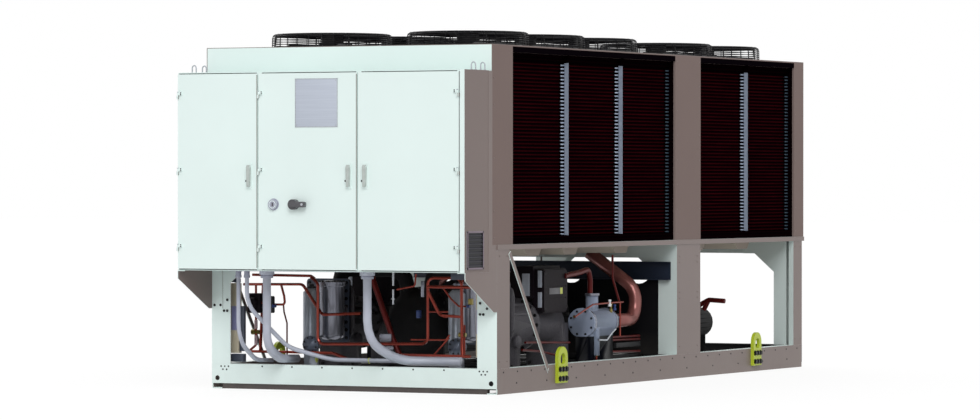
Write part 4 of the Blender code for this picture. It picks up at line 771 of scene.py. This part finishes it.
# A grey strip at the edge of the left and middle doors is painted shade in the seam between the doors.
SEAM_SHADE_GREY = speckled("seam_grey", (126, 124, 118), (150, 147, 140), 30.0, Roughness=0.6)
for door in ("left", "middle"):
    edge = DOOR_BOXES[door][1][0]
    seam = slabs(((edge - 0.0068, edge - 0.0004), (-0.0005, 0.0005),
                  (CABINET_LOW + 0.022, CABINET_ROOF - 0.022)), start=DOOR_FACE)
    piece("door_seam_shade_" + door, seam, SEAM_SHADE_GREY, DOOR + door)

# The louvre frame's faces that look sideways are painted a little darker, as painted shade.
VENT = powder_coat("vent_paint", (136, 122, 134), (124, 110, 122), 0.45)
vent = bmesh.new()
for along, rises in (((0.029, 0.041), (0.0, 0.260)), ((0.261, 0.273), (0.0, 0.260)),
                     ((0.029, 0.273), (0.0, 0.012)), ((0.029, 0.273), (0.248, 0.260))):
    slab_into(vent, (VENT_FACE - 0.0075, VENT_FACE + 0.0006), along,
              [VENT_LOW + rise for rise in rises], 0.0006, start=DOOR_FACE)
piece("vent_frame", vent, VENT)
shades = bmesh.new()
for number in range(8):
    foot = VENT_LOW + 0.012 + 0.0295 * (number + 0.25)
    for near, far, low, high in ((-0.0078, -0.0058, 0.0064, 0.0128), (-0.0030, 0.0004, 0.0200, 0.0250)):
        slab_into(shades, (VENT_FACE + near, VENT_FACE + far), (0.0412, 0.2608), (foot + low, foot + high),
                  start=DOOR_FACE)
piece("vent_shadow_strips", shades, GROUND_BLACK)

bracket_bolts = [((side * x, FRONT - 0.0053, z), AHEAD) for side, _ in SIDES for x, z in
                 ((1.104, 0.589), (1.055, 0.590), (1.001, 0.627), (1.027, 0.550), (1.001, 0.550))]
screws("bracket_bolts", bracket_bolts, 0.014, 0.006)

panel_screws = []
for side in (-1, 1):
    for places, heights in (((3.02, 3.34), (0.594, 0.637, 0.86, 0.905, 0.235)),
                            ((0.040, 0.155, 5.215, 5.320), (0.225, 0.950)),
                            ((-0.045, 0.215, 2.975, 3.368, 5.220, 5.352), spread(1.075, 2.355, 8))):
        panel_screws += [((side * HALF, FRONT + place, height), (side, 0, 0))
                         for place in places for height in heights]
rear_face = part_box("rear_end_panel")[1][1]
panel_screws += [((x, rear_face, height), (0, 1, 0)) for height in (1.080, 1.700, 2.350)
                 for x in spread(-1.06, 1.06, 8)]
screws("panel_screws", panel_screws, 0.009, 0.003, finish=SHADE_TRIM_PAINT)

# Compressors. Painted castings on feet: an upright housing in front, bolted plates, the motor case
# and the rotor case that tapers towards the rear.


def polished(names, finish, sharp=34.0):
    """Merge a copy of each round node and shade it smooth, in place of the faceted one."""
    for name in names:
        shape = bmesh.new()
        shape.from_mesh(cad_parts[name].data)
        piece(name + "_smooth", shape, finish, stands_for=(name,), smooth=sharp)


CASTING = speckled("painted_casting", (48, 46, 50), (84, 82, 88), 90.0, 5.0,
                   Roughness=0.55, Specular_IOR_Level=0.3)
CASTING.bump(CASTING.noise(90.0, 5.0), 0.0015, 0.5)
polished(both("compressor"), CASTING)

HOUSING_STEEL = speckled("housing_steel", (112, 114, 126), (146, 148, 158), 9.0, 3.0,
                         Roughness=0.22, Metallic=0.65)
PLATE_SLATE = speckled("plate_slate", (70, 78, 94), (94, 102, 118), 8.0, 3.0, Roughness=0.4, Metallic=0.2)

COMPRESSOR_X = HALF - 0.489
SHAFT_Z = 0.440
HOUSING_Y = FRONT + 0.700
HOUSING_PROFILE = ((0.0, -0.0006), (0.071, 0.008), (0.090, 0.026), (0.0957, 0.047), (0.0957, 0.386),
                   (0.099, 0.3895), (0.1057, 0.3895), (0.1057, 0.4195), (0.103, 0.4207), (0.060, 0.4207),
                   (0.056, 0.430), (0.0, 0.430))


def rounded(low, high, radius, steps=5):
    """A rectangle's outline with round corners."""
    points = []
    quarters = ((high[0] - radius, high[1] - radius), (low[0] + radius, high[1] - radius),
                (low[0] + radius, low[1] + radius), (high[0] - radius, low[1] + radius))
    for quarter, (x, z) in enumerate(quarters):
        for step in range(steps + 1):
            angle = math.pi / 2 * (quarter + step / steps)
            points.append((x + radius * math.cos(angle), z + radius * math.sin(angle)))
    return points


def circle_of(centre, radius, count, axis, way, start=0.0):
    """Points round a circle with the direction that they face, for a ring of bolts."""
    along = "XYZ".index(axis)
    first, second = [index for index in range(3) if index != along]
    facing = [way * (index == along) for index in range(3)]
    places = []
    for step in range(count):
        angle = 2 * math.pi * (step + start) / count
        place = list(centre)
        place[first] += radius * math.cos(angle)
        place[second] += radius * math.sin(angle)
        places.append((place, facing))
    return places


case_bolts = []
for side, side_name in SIDES:
    x = side * COMPRESSOR_X
    outline = rounded((x - 0.174, 0.3095), (x + 0.174, 0.7655), 0.030)
    plate = plate_into(bmesh.new(), outline, FRONT + 0.8115, FRONT + 0.8380)
    piece("front_plate_" + side_name, plate, PLATE_SLATE)
    details = bmesh.new()
    for step in range(5):
        angle = math.pi * (0.16 + 0.17 * step)
        way = Vector((math.cos(angle), 0.0, math.sin(angle)))
        top = Vector((x, 0.0, SHAFT_Z)) + way * 0.166
        corner = Vector((abs(way.z) * 0.005 + 0.002, 0.0, abs(way.x) * 0.005 + 0.002))
        start = top - corner
        end = top + corner + way * 0.008
        slab_into(details, (start.x, end.x), (0.900, 1.235), (start.z, end.z), 0.0015)
    turned_into(details, ((0.0, 0.0), (0.046, 0.0), (0.046, 0.018), (0.030, 0.030), (0.0, 0.030)),
                (x + 0.150, FRONT + 0.974, 0.327), "X", 28)
    turned_into(details, drum(0.030, 0.025), (x, FRONT + 1.840, SHAFT_Z), "Y", 28)
    slab_into(details, (x - 0.060, x + 0.060), (1.500, 1.740), (0.540, 0.585), 0.008)
    piece("case_details_" + side_name, details, CASTING, smooth=40.0)
    housing_x = side * (COMPRESSOR_X - 0.091)
    housing = turned_into(bmesh.new(), HOUSING_PROFILE, (housing_x, HOUSING_Y, 0.325), "Z", 48)
    piece("upright_housing_" + side_name, housing, HOUSING_STEEL, smooth=40.0)
    case_bolts += circle_of((housing_x, HOUSING_Y, 0.7455), 0.088, 12, "Z", 1, 0.5)
    case_bolts += circle_of((x, FRONT + 1.240, SHAFT_Z), 0.181, 16, "Y", -1)
    case_bolts += circle_of((x, FRONT + 1.840, SHAFT_Z), 0.074, 8, "Y", 1)
    case_bolts += [((x + edge, FRONT + 0.8115, height), AHEAD) for edge in (-0.151, 0.151)
                   for height in spread(0.342, 0.735, 8)]
    case_bolts += [((x + place, FRONT + member - 0.0405, 0.150), AHEAD) for place in (-0.125, 0.125)
                   for member in (1.000, 1.780)]
screws("compressor_bolts", case_bolts, 0.019, 0.010)

# Terminal boxes. Moulded black covers over the motor leads, with clips on the front, a bare
# plate on the side and a lead box between each cover and its motor.

BOX_BLACK = speckled("moulded_black", (20, 16, 20), (36, 30, 35), 60.0, 3.0,
                     Roughness=0.4, Specular_IOR_Level=0.05)
BOX_BLACK.grain(500.0, 0.0006, 0.4)
dress(BOX_BLACK, *both("terminal_box"))

CABLE_TIE = speckled("yellow_green", (190, 200, 90), (212, 218, 120), 30.0, Roughness=0.5)
BOX_SIDE = HALF - 0.279
box_screws = []
for side, side_name in SIDES:
    clips = slabs(((0.806, 0.838), (1.2868, 1.2902), (0.706, 0.826), 0.001),
                  ((0.806, 0.838), (1.2868, 1.2902), (0.563, 0.672), 0.001),
                  ((0.690, 0.750), (1.2680, 1.2722), (0.645, 0.805), 0.001), side=side)
    piece("terminal_clips_" + side_name, clips, LABEL_GREY)
    for name, along, finish, slot in (("terminal_plate_", (1.385, 1.560), DARK_PLASTIC, "handle_grey"),
                                      ("terminal_mark_", (1.562, 1.600), CABLE_TIE, "lime_paint")):
        label = slabs(((BOX_SIDE, BOX_SIDE + 0.0015), along, (0.655, 0.700), 0.0004), side=side)
        piece(name + side_name, label, finish)
    box_screws += [((side * BOX_SIDE, FRONT + y, z), (side, 0, 0)) for y in (1.325, 1.655)
                   for z in (0.555, 0.668, 0.803)]
screws("terminal_screws", box_screws, 0.009, 0.003)
leads = bmesh.new()
for side in (-1, 1):
    slab_into(leads, (0.602, 0.405), (1.330, 1.640), (0.590, 0.812), 0.012, side)
piece("lead_boxes", leads, BOX_BLACK)

# Oil separators. Steel shells on navy pedestals, closed by bolted covers, with a copper discharge
# line that climbs to the coils and small copper lines and valves round the shell.

SEPARATOR_FINISH = Finish("separator_paint", Roughness=0.34, Metallic=0.1, Specular_IOR_Level=0.25)
stands = (SEPARATOR_FINISH.z < 0.3385) * (SEPARATOR_FINISH.x.size() < 0.9206)
shell_tone = SEPARATOR_FINISH.mix(SEPARATOR_FINISH.noise(6.0, 4.0), (134, 145, 168), (160, 170, 190))
SEPARATOR_FINISH.tint(stands, shell_tone, (12, 14, 24))
polished(both("oil_separator"), SEPARATOR_FINISH)

COPPER = speckled("copper_tube", (164, 70, 54), (96, 30, 27), 7.0, 5.0,
                  Roughness=0.22, Metallic=0.55, Specular_IOR_Level=0.3)
polished(both("liquid_line"), COPPER)
PIPE_COPPER = speckled("dull_copper_pipe", (158, 100, 94), (112, 62, 60), 7.0, 5.0,
                       Roughness=0.24, Metallic=0.4)
polished(both("discharge_pipe"), PIPE_COPPER, 50.0)

RED_TUBE = speckled("dark_red_tube", (62, 12, 13), (106, 24, 21), 9.0, 3.0,
                    Roughness=0.3, Metallic=0.3, Specular_IOR_Level=0.2)
BRASS = speckled("valve_brass", (104, 92, 46), (152, 138, 76), 40.0, 3.0, Roughness=0.3, Metallic=0.7)
VALVE_BLUE = speckled("blue_cap", (22, 44, 100), (36, 66, 130), 40.0, Roughness=0.4)
OFF_WHITE = speckled("off_white_cap", (206, 208, 212), (232, 233, 236), 40.0, Roughness=0.45)

SEPARATOR_X = HALF - 0.269
SEPARATOR_Y = FRONT + 1.890
SEPARATOR_Z = 0.438


def rounded_route(points, bend, steps=6):
    """A route with each corner bent to a radius."""
    points = [Vector(point) for point in points]
    route = [points[0]]
    for before, corner, after in zip(points, points[1:], points[2:]):
        into = (before - corner).normalized()
        out = (after - corner).normalized()
        half = into.angle(out) / 2
        reach = min(bend / math.tan(half), 0.48 * (before - corner).length, 0.48 * (after - corner).length)
        middle = corner + (into + out).normalized() * (reach / math.cos(half))
        start = corner + into * reach - middle
        finish = corner + out * reach - middle
        turn = start.cross(finish).normalized()
        for step in range(steps + 1):
            route.append(middle + Matrix.Rotation(start.angle(finish) * step / steps, 3, turn) @ start)
    route.append(points[-1])
    return route


def lines(name, routes, radius, finish, bend=0.02, sides=12, side=0):
    """Several tubes of one size as one piece. A route starts with the plane that it stays in: how far
    behind the base's front it runs across the bay or, given a side, how far out it runs along it."""
    shape = bmesh.new()
    for plane, *points in routes:
        if side:
            route = [(side * plane, FRONT + y, z) for y, z in points]
        else:
            route = [(x, FRONT + plane, z) for x, z in points]
        tube_into(shape, rounded_route(route, bend), radius, sides)
    piece(name, shape, finish)


def stem_into(shape, place, axis, radius, length):
    """A small turned fitting: a collar, a neck and a cap."""
    turned_into(shape, ((0.0, 0.0), (radius, 0.0), (radius, length * 0.35), (radius * 0.6, length * 0.42),
                        (radius * 0.6, length * 0.70), (radius * 0.85, length * 0.74),
                        (radius * 0.85, length), (0.0, length)), place, axis, 16)


cover_bolts = []
for side, side_name in SIDES:
    x = side * SEPARATOR_X
    cover_bolts += circle_of((x, SEPARATOR_Y, SEPARATOR_Z), 0.088, 8, "Y", -1, 0.5)
    bands = bmesh.new()
    for place, radius, width, sides in ((0.030, 0.1035, 0.022, 40), (0.402, 0.1012, 0.016, 40),
                                        (0.520, 0.060, 0.014, 32)):
        turned_into(bands, drum(radius, width), (x, SEPARATOR_Y + place, SEPARATOR_Z), "Y", sides)
    turned_into(bands, drum(0.056, 0.016), (x, SEPARATOR_Y + 0.180, 0.6325), "Z")
    piece("separator_bands_" + side_name, bands, HOUSING_STEEL)
    fittings = bmesh.new()
    stem_into(fittings, (side * 0.813, SEPARATOR_Y - 0.022, 0.483), "Y", 0.010, 0.026)
    stem_into(fittings, (side * 0.931, FRONT + 2.000, 0.196), "Z", 0.014, 0.010)
    stem_into(fittings, (side * 0.925, FRONT + 2.255, 0.505), "Z", 0.012, 0.075)
    piece("separator_brass_" + side_name, fittings, BRASS)
    for name, y, z, radius, length, finish, slot in (
            ("valve_caps_white_", 2.215, 0.550, 0.013, 0.050, OFF_WHITE, "conduit_grey"),
            ("valve_caps_blue_", 2.300, 0.520, 0.011, 0.042, VALVE_BLUE, "handle_grey")):
        cap = bmesh.new()
        stem_into(cap, (side * 0.935, FRONT + y, z), "Z", radius, length)
        piece(name + side_name, cap, finish)
    lines("oil_lines_" + side_name,
          [(0.930, (1.640, 0.489), (1.942, 0.571), (2.196, 0.575), (2.453, 0.577)),
           (0.930, (2.401, 0.577), (2.401, 0.328)), (0.931, (1.998, 0.200), (1.998, 0.124))],
          0.0065, COPPER, side=side)
    lines("discharge_header_" + side_name,
          [(0.845, (1.638, 0.782), (1.870, 0.800), (2.040, 0.825), (2.070, 0.750), (2.070, 0.648))],
          0.020, RED_TUBE, bend=0.06, sides=16, side=side)
    lines("red_lines_" + side_name,
          [(0.900, (2.336, 0.924), (2.336, 0.755), (2.465, 0.561)), (0.832, (1.034, 0.322), (1.749, 0.299)),
           (0.800, (1.047, 0.268), (1.330, 0.250), (1.580, 0.215)), (0.900, (2.300, 0.322), (2.800, 0.318)),
           (0.900, (2.300, 0.300), (2.805, 0.294)), (0.900, (2.320, 0.215), (2.805, 0.205))],
          0.0085, RED_TUBE, bend=0.04, side=side)
    lines("drain_line_" + side_name,
          [(0.960, (1.975, 0.313), (2.115, 0.308), (2.184, 0.350), (2.260, 0.384))],
          0.0065, BRIGHT, side=side)
    rail = slabs(((0.888, 0.912), (2.379, 2.796), (0.242, 0.277), 0.003), side=side)
    piece("line_rail_" + side_name, rail, GROUND_BLACK)
screws("separator_bolts", cover_bolts, 0.013, 0.007)

# Evaporator. A long shell under black insulation, with bolted heads and jacket bands, and a header
# at its rear end. A black sheet closes the bay behind the middle portal.

BLACK_JACKET = speckled("black_insulation", (8, 8, 10), (26, 25, 27), 20.0, 5.0,
                        Roughness=0.7, Specular_IOR_Level=0.2)
BLACK_JACKET.bump(BLACK_JACKET.noise(120.0, 3.0), 0.002, 0.5)
polished(("evaporator",), BLACK_JACKET)
PARTITION = powder_coat("partition_black", (10, 10, 13), roughness=0.6, Specular_IOR_Level=0.1)
dress(PARTITION, "mid_partition")

EVAPORATOR_Z = 0.455
head_bolts = []
for place, way in ((1.010, -1), (4.090, 1)):
    head_bolts += circle_of((0.0, FRONT + place, EVAPORATOR_Z), 0.245, 20, "Y", way)
screws("evaporator_bolts", head_bolts, 0.016, 0.010)
bands = bmesh.new()
band = ((0.0, 0.0), (0.2365, 0.0), (0.2375, 0.002), (0.2375, 0.023), (0.2365, 0.025), (0.0, 0.025))
for place in spread(1.35, 3.75, 5):
    turned_into(bands, band, (0.0, FRONT + place, EVAPORATOR_Z), "Y", 64)
piece("jacket_bands", bands, BOX_BLACK)
lines("rear_header", [(4.6, (0.545, 0.470), (0.585, 0.500), (0.660, 0.540), (0.796, 0.532)),
                      (4.6, (0.660, 0.540), (0.618, 0.462))], 0.019, RED_TUBE, bend=0.05, sides=16)

# Filter driers and liquid lines. Upright shells with bolted covers, copper lines, sight glasses,
# braided connectors and the expansion valves in front of them.

SHELL_STEEL = Finish("painted_shell", Roughness=0.3, Metallic=0.3)
shell_tone = SHELL_STEEL.mix(SHELL_STEEL.noise(6.0, 4.0), (142, 150, 164), (176, 184, 196))
SHELL_STEEL.tint(SHELL_STEEL.y < FRONT + 0.419, shell_tone, (92, 100, 116))
polished(both("filter_drier"), SHELL_STEEL)
drier_bolts = []
for name in both("filter_drier"):
    low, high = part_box(name)
    drier_bolts += circle_of((high[0] - 0.062, FRONT + 0.400, 0.306), 0.050, 8, "Y", -1, 0.5)
    cap = turned_into(bmesh.new(), ((0.0, 0.0), (0.032, 0.0), (0.032, 0.012), (0.018, 0.018), (0.018, 0.030),
                                    (0.0, 0.030)), (low[0] + 0.060, FRONT + 0.480, 0.704), "Z", 24)
    piece(name + "_cap", cap, GROUND_BLACK)
screws("drier_bolts", drier_bolts, 0.010, 0.006)

BRAID = Finish("steel_braid", Roughness=0.4, Metallic=0.35)
weave = (BRAID.z * 2100.0).wave() * ((BRAID.x + BRAID.y) * 2100.0).wave()
BRAID.tint((weave + 0.5).clamp(), (150, 120, 128), (222, 198, 204))
BRAID.bump(weave, 0.0008, 0.6)

lines("left_valve_lines",
      [(0.30, (-0.942, 0.725), (-0.942, 0.299), (-1.000, 0.255)),
       (0.30, (-0.800, 0.589), (-0.705, 0.590), (-0.712, 0.650), (-0.738, 0.735)),
       (0.30, (-0.893, 0.600), (-0.830, 0.600))], 0.0085, COPPER)
lines("upper_liquid_line", [(0.389, (-1.020, 0.797), (-0.545, 0.793), (-0.515, 0.775))], 0.010, COPPER)
lines("left_red_line", [(0.30, (-0.718, 0.590), (-0.713, 0.537), (-0.689, 0.459), (-0.689, 0.200))],
      0.006, RED_TUBE, bend=0.03)
lines("left_braids", [(0.30, (-0.942, 0.477), (-0.942, 0.416)), (0.30, (-0.942, 0.368), (-0.942, 0.299))],
      0.0125, BRAID)
valve = slabs(((-0.998, -0.893), (0.270, 0.345), (0.527, 0.668), 0.012))
turned_into(valve, ((0.0, 0.0), (0.032, 0.0), (0.038, 0.010), (0.038, 0.034), (0.0, 0.040)),
            (-0.940, FRONT + 0.232, 0.600), "Y", 28)
piece("expansion_valve", valve, BOX_BLACK, smooth=40.0)
motor = bmesh.new()
turned_into(motor, ((0.0, -0.060), (0.014, -0.060), (0.018, -0.052), (0.018, 0.050), (0.014, 0.060),
                    (0.0, 0.060)), (-0.809, FRONT + 0.300, 0.589), "Z", 24)
piece("valve_motor", motor, FAN_BLACK)
plugs = bmesh.new()
stem_into(plugs, (-0.796, FRONT + 0.282, 0.580), "X", 0.014, 0.026)
stem_into(plugs, (0.760, FRONT + 0.270, 0.595), "X", 0.012, 0.024)
slab_into(plugs, (0.298, 0.326), (0.385, 0.420), (0.505, 0.560), 0.006)
piece("blue_connectors", plugs, VALVE_BLUE)
valves = bmesh.new()
stem_into(valves, (-0.975, FRONT + 0.300, 0.392), "X", 0.019, 0.058)
stem_into(valves, (0.684, FRONT + 0.300, 0.396), "X", 0.017, 0.052)
slab_into(valves, (0.760, 0.790), (0.280, 0.315), (0.604, 0.650), 0.006)
piece("line_valves", valves, BRASS)

lines("right_valve_lines",
      [(0.30, (0.708, 0.790), (0.708, 0.290), (0.713, 0.255)), (0.30, (0.725, 0.465), (0.725, 0.260)),
       (0.30, (0.344, 0.815), (0.335, 0.732), (0.194, 0.706)),
       (0.30, (0.553, 0.728), (0.619, 0.645), (0.682, 0.594), (0.760, 0.595)),
       (0.27, (0.453, 0.554), (0.612, 0.555)), (0.27, (0.321, 0.357), (0.596, 0.360), (0.625, 0.395)),
       (0.27, (0.500, 0.252), (0.619, 0.374))], 0.0065, COPPER)
lines("right_liquid_header", [(0.27, (0.453, 0.728), (0.785, 0.728))], 0.012, COPPER)
lines("right_braids", [(0.30, (0.708, 0.486), (0.708, 0.416)), (0.30, (0.708, 0.367), (0.708, 0.298))],
      0.0125, BRAID)
lines("economiser_line", [(0.45, (-0.100, 0.860), (-0.082, 0.781), (0.082, 0.353), (0.138, 0.235))],
      0.021, RED_TUBE, bend=0.08, sides=18)
rods = bmesh.new()
for start, end, radius, sides in (((0.164, 0.830), (0.164, 0.732), 0.0075, 12),
                                  ((0.164, 0.706), (0.164, 0.601), 0.0075, 12),
                                  ((0.150, 0.640), (0.178, 0.640), 0.004, 8)):
    tube_into(rods, [(x, FRONT + 0.30, z) for x, z in (start, end)], radius, sides)
piece("steel_rods", rods, BRIGHT)
supports = slabs(((0.388, 0.411), (0.290, 0.300), (0.656, 0.768), 0.002),
                 ((-0.003, 0.093), (0.400, 0.415), (0.337, 0.392), 0.008),
                 ((0.013, 0.109), (0.400, 0.415), (0.271, 0.304), 0.008))
piece("pipe_supports", supports, HOUSING_STEEL)

# Conduits. Grey flexible conduits from the cabinet's underside, with pressed collars and ties, and
# beige strips inside the corner posts that stand for the posts' inner faces in painted shade.

LILAC = speckled("conduit_grey", (164, 168, 182), (192, 196, 210), 8.0, 3.0, Roughness=0.38)
polished(("conduit_set",), LILAC, 50.0)
ties = bmesh.new()
for x in (-0.367, 0.055):
    turned_into(ties, drum(0.0185, 0.006), (x, FRONT + 0.146, 0.212), "X", 24)
    slab_into(ties, (x, x + 0.006), (0.140, 0.150), (0.190, 0.196))
piece("conduit_ties", ties, CABLE_TIE)
collars = bmesh.new()
for x, radius in ((-0.768, 0.0165), (-0.700, 0.0165), (-0.540, 0.033), (0.255, 0.033)):
    profile = ((0.0, 0.790), (radius * 1.25, 0.790), (radius * 1.35, 0.794), (radius * 1.35, 0.806),
               (radius * 1.2, 0.812), (radius * 1.2, 0.835), (0.0, 0.835))
    turned_into(collars, profile, (x, FRONT - 0.250, 0.0), "Z", 28)
piece("conduit_collars", collars, KNOB_GREY)

# The beige stands for the corner posts' shaded inner faces: a painted shade.
POST_SHADE_BEIGE = speckled("beige_duct", (196, 184, 160), (214, 204, 182), 12.0, 3.0, Roughness=0.5)
VIOLET = Finish("violet_plate", Roughness=0.45)
dots = ((VIOLET.x * 700.0).wave() * (VIOLET.z * 700.0).wave() - 0.4).clamp()
VIOLET.tint(dots, (146, 146, 190), (196, 198, 222))
SLATE = speckled("slate_panel", (60, 66, 80), (84, 90, 104), 20.0, 3.0, Roughness=0.5)
for side_name, start, end in (("right", 0.918, 0.9755), ("left", -1.030, -0.966)):
    shade_slab = slabs(((start, end), (0.095, 0.140), (0.248, 0.743), 0.003))
    piece("post_shade_strip_" + side_name, shade_slab, POST_SHADE_BEIGE)
    plate = slabs(((start + 0.006, end - 0.003), (0.0915, 0.0955), (0.411, 0.580), 0.001))
    piece("post_plate_" + side_name, plate, VIOLET)
sensors = slabs(((-0.962, -0.926), (0.100, 0.130), (0.262, 0.581), 0.002),
                ((-1.030, -0.930), (0.095, 0.140), (0.186, 0.243), 0.002),
                ((-1.030, -0.972), (0.095, 0.140), (0.748, 0.775), 0.002),
                ((0.671, 0.773), (0.195, 0.225), (0.780, 0.828), 0.003))
piece("sensor_boxes", sensors, SLATE)

# Rear stiffeners. A folded plate lies on the inner face of each post of the rear portal, from
# the base up to the rail, and reaches along the header as a gusset.

portal_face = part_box("rear_portal")[0][1]
on_beam = BEAM_TOP + 0.001
under_rail = RAIL_LOW[2] - 0.001
stiffeners = bmesh.new()
for side in (-1, 1):
    outline = [(side * x, z) for x, z in
               ((0.962, on_beam), (1.070, on_beam), (1.070, under_rail), (0.700, under_rail),
                (0.700, 0.895), (0.797, 0.895), (0.962, 0.751))]
    plate_into(stiffeners, outline, portal_face - 0.0032, portal_face - 0.0002)
# The stiffeners take the bay's darkened pale, a painted shade.
piece("rear_stiffeners", stiffeners, BAY_SHADE_PAINT)

# Stage. A pale floor that keeps a light shadow, a white sky, two soft lamps far away and
# the camera of the photograph, fitted to the machine's corners.


def lit_rays(sheet):
    """1 where the camera, a reflection or glass sees the stage, 0 where it only gives light."""
    rays = sheet.add("ShaderNodeLightPath", out="Is Camera Ray")
    return (rays + rays.out("Is Glossy Ray") + rays.out("Is Transmission Ray")).clamp()


floor_data = bpy.data.meshes.new("floor")
floor_shape = bmesh.new()
bmesh.ops.create_grid(floor_shape, x_segments=1, y_segments=1, size=120.0)
floor_shape.to_mesh(floor_data)
floor_shape.free()
floor = placed_object("floor", floor_data)
floor.location.z = -0.001
WHITE = (1.0, 1.0, 1.0, 1.0)
FLOOR = speckled("studio_floor", (0.80, 0.80, 0.80, 1.0), (0.82, 0.82, 0.82, 1.0), 0.5, Roughness=0.9)
glow = FLOOR.add("ShaderNodeEmission", {}, {"Color": WHITE, "Strength": 1.07}, "Emission")
matt = Value(FLOOR, FLOOR.shader.outputs[0])
blend = FLOOR.add("ShaderNodeMixShader", {}, {0: lit_rays(FLOOR) * 0.80, 1: matt, 2: glow})
FLOOR.feed(FLOOR.tree.nodes["Material Output"].inputs["Surface"], blend)
floor_data.materials.append(FLOOR.material)

world = bpy.data.worlds.new("studio")
world.use_nodes = True
bpy.context.scene.world = world
sky = Sheet(world.node_tree)
soft, white = [sky.add("ShaderNodeBackground", {}, {"Color": WHITE, "Strength": strength})
               for strength in (0.60, 1.0)]
both_skies = sky.add("ShaderNodeMixShader", {}, {0: lit_rays(sky), 1: soft, 2: white})
sky.feed(world.node_tree.nodes["World Output"].inputs["Surface"], both_skies)


def lamp(name, direction, strength, softness):
    """A soft lamp far away, shining along a direction."""
    light = bpy.data.lights.new(name, "SUN")
    light.energy = strength
    light.angle = math.radians(softness)
    thing = placed_object(name, light)
    thing.rotation_euler = Vector(direction).to_track_quat("-Z", "Y").to_euler()


lamp("key_lamp", (-0.45, 0.75, -0.55), 1.35, 30)
lamp("rear_lamp", (0.5, -0.6, -0.6), 0.5, 40)

IMAGE_WIDTH = 980
FOCAL_PIXELS = 4552
SENSOR = 36.0
CAMERA_YAW = 26.84
CAMERA_PITCH = -0.352
CAMERA_FROM_FRONT = (15.163, -27.840, 1.4585)
camera_data = bpy.data.cameras.new("camera")
camera_data.sensor_width = SENSOR
camera_data.lens = FOCAL_PIXELS / IMAGE_WIDTH * SENSOR
camera_data.clip_end = 300.0
camera = placed_object("camera", camera_data)
camera.location = Vector(CAMERA_FROM_FRONT) + Vector((0.0, FRONT, 0.0))
camera.rotation_euler = (math.radians(90 + CAMERA_PITCH), 0.0, math.radians(CAMERA_YAW))
bpy.context.scene.camera = camera
bpy.context.scene.view_settings.view_transform = "Standard"
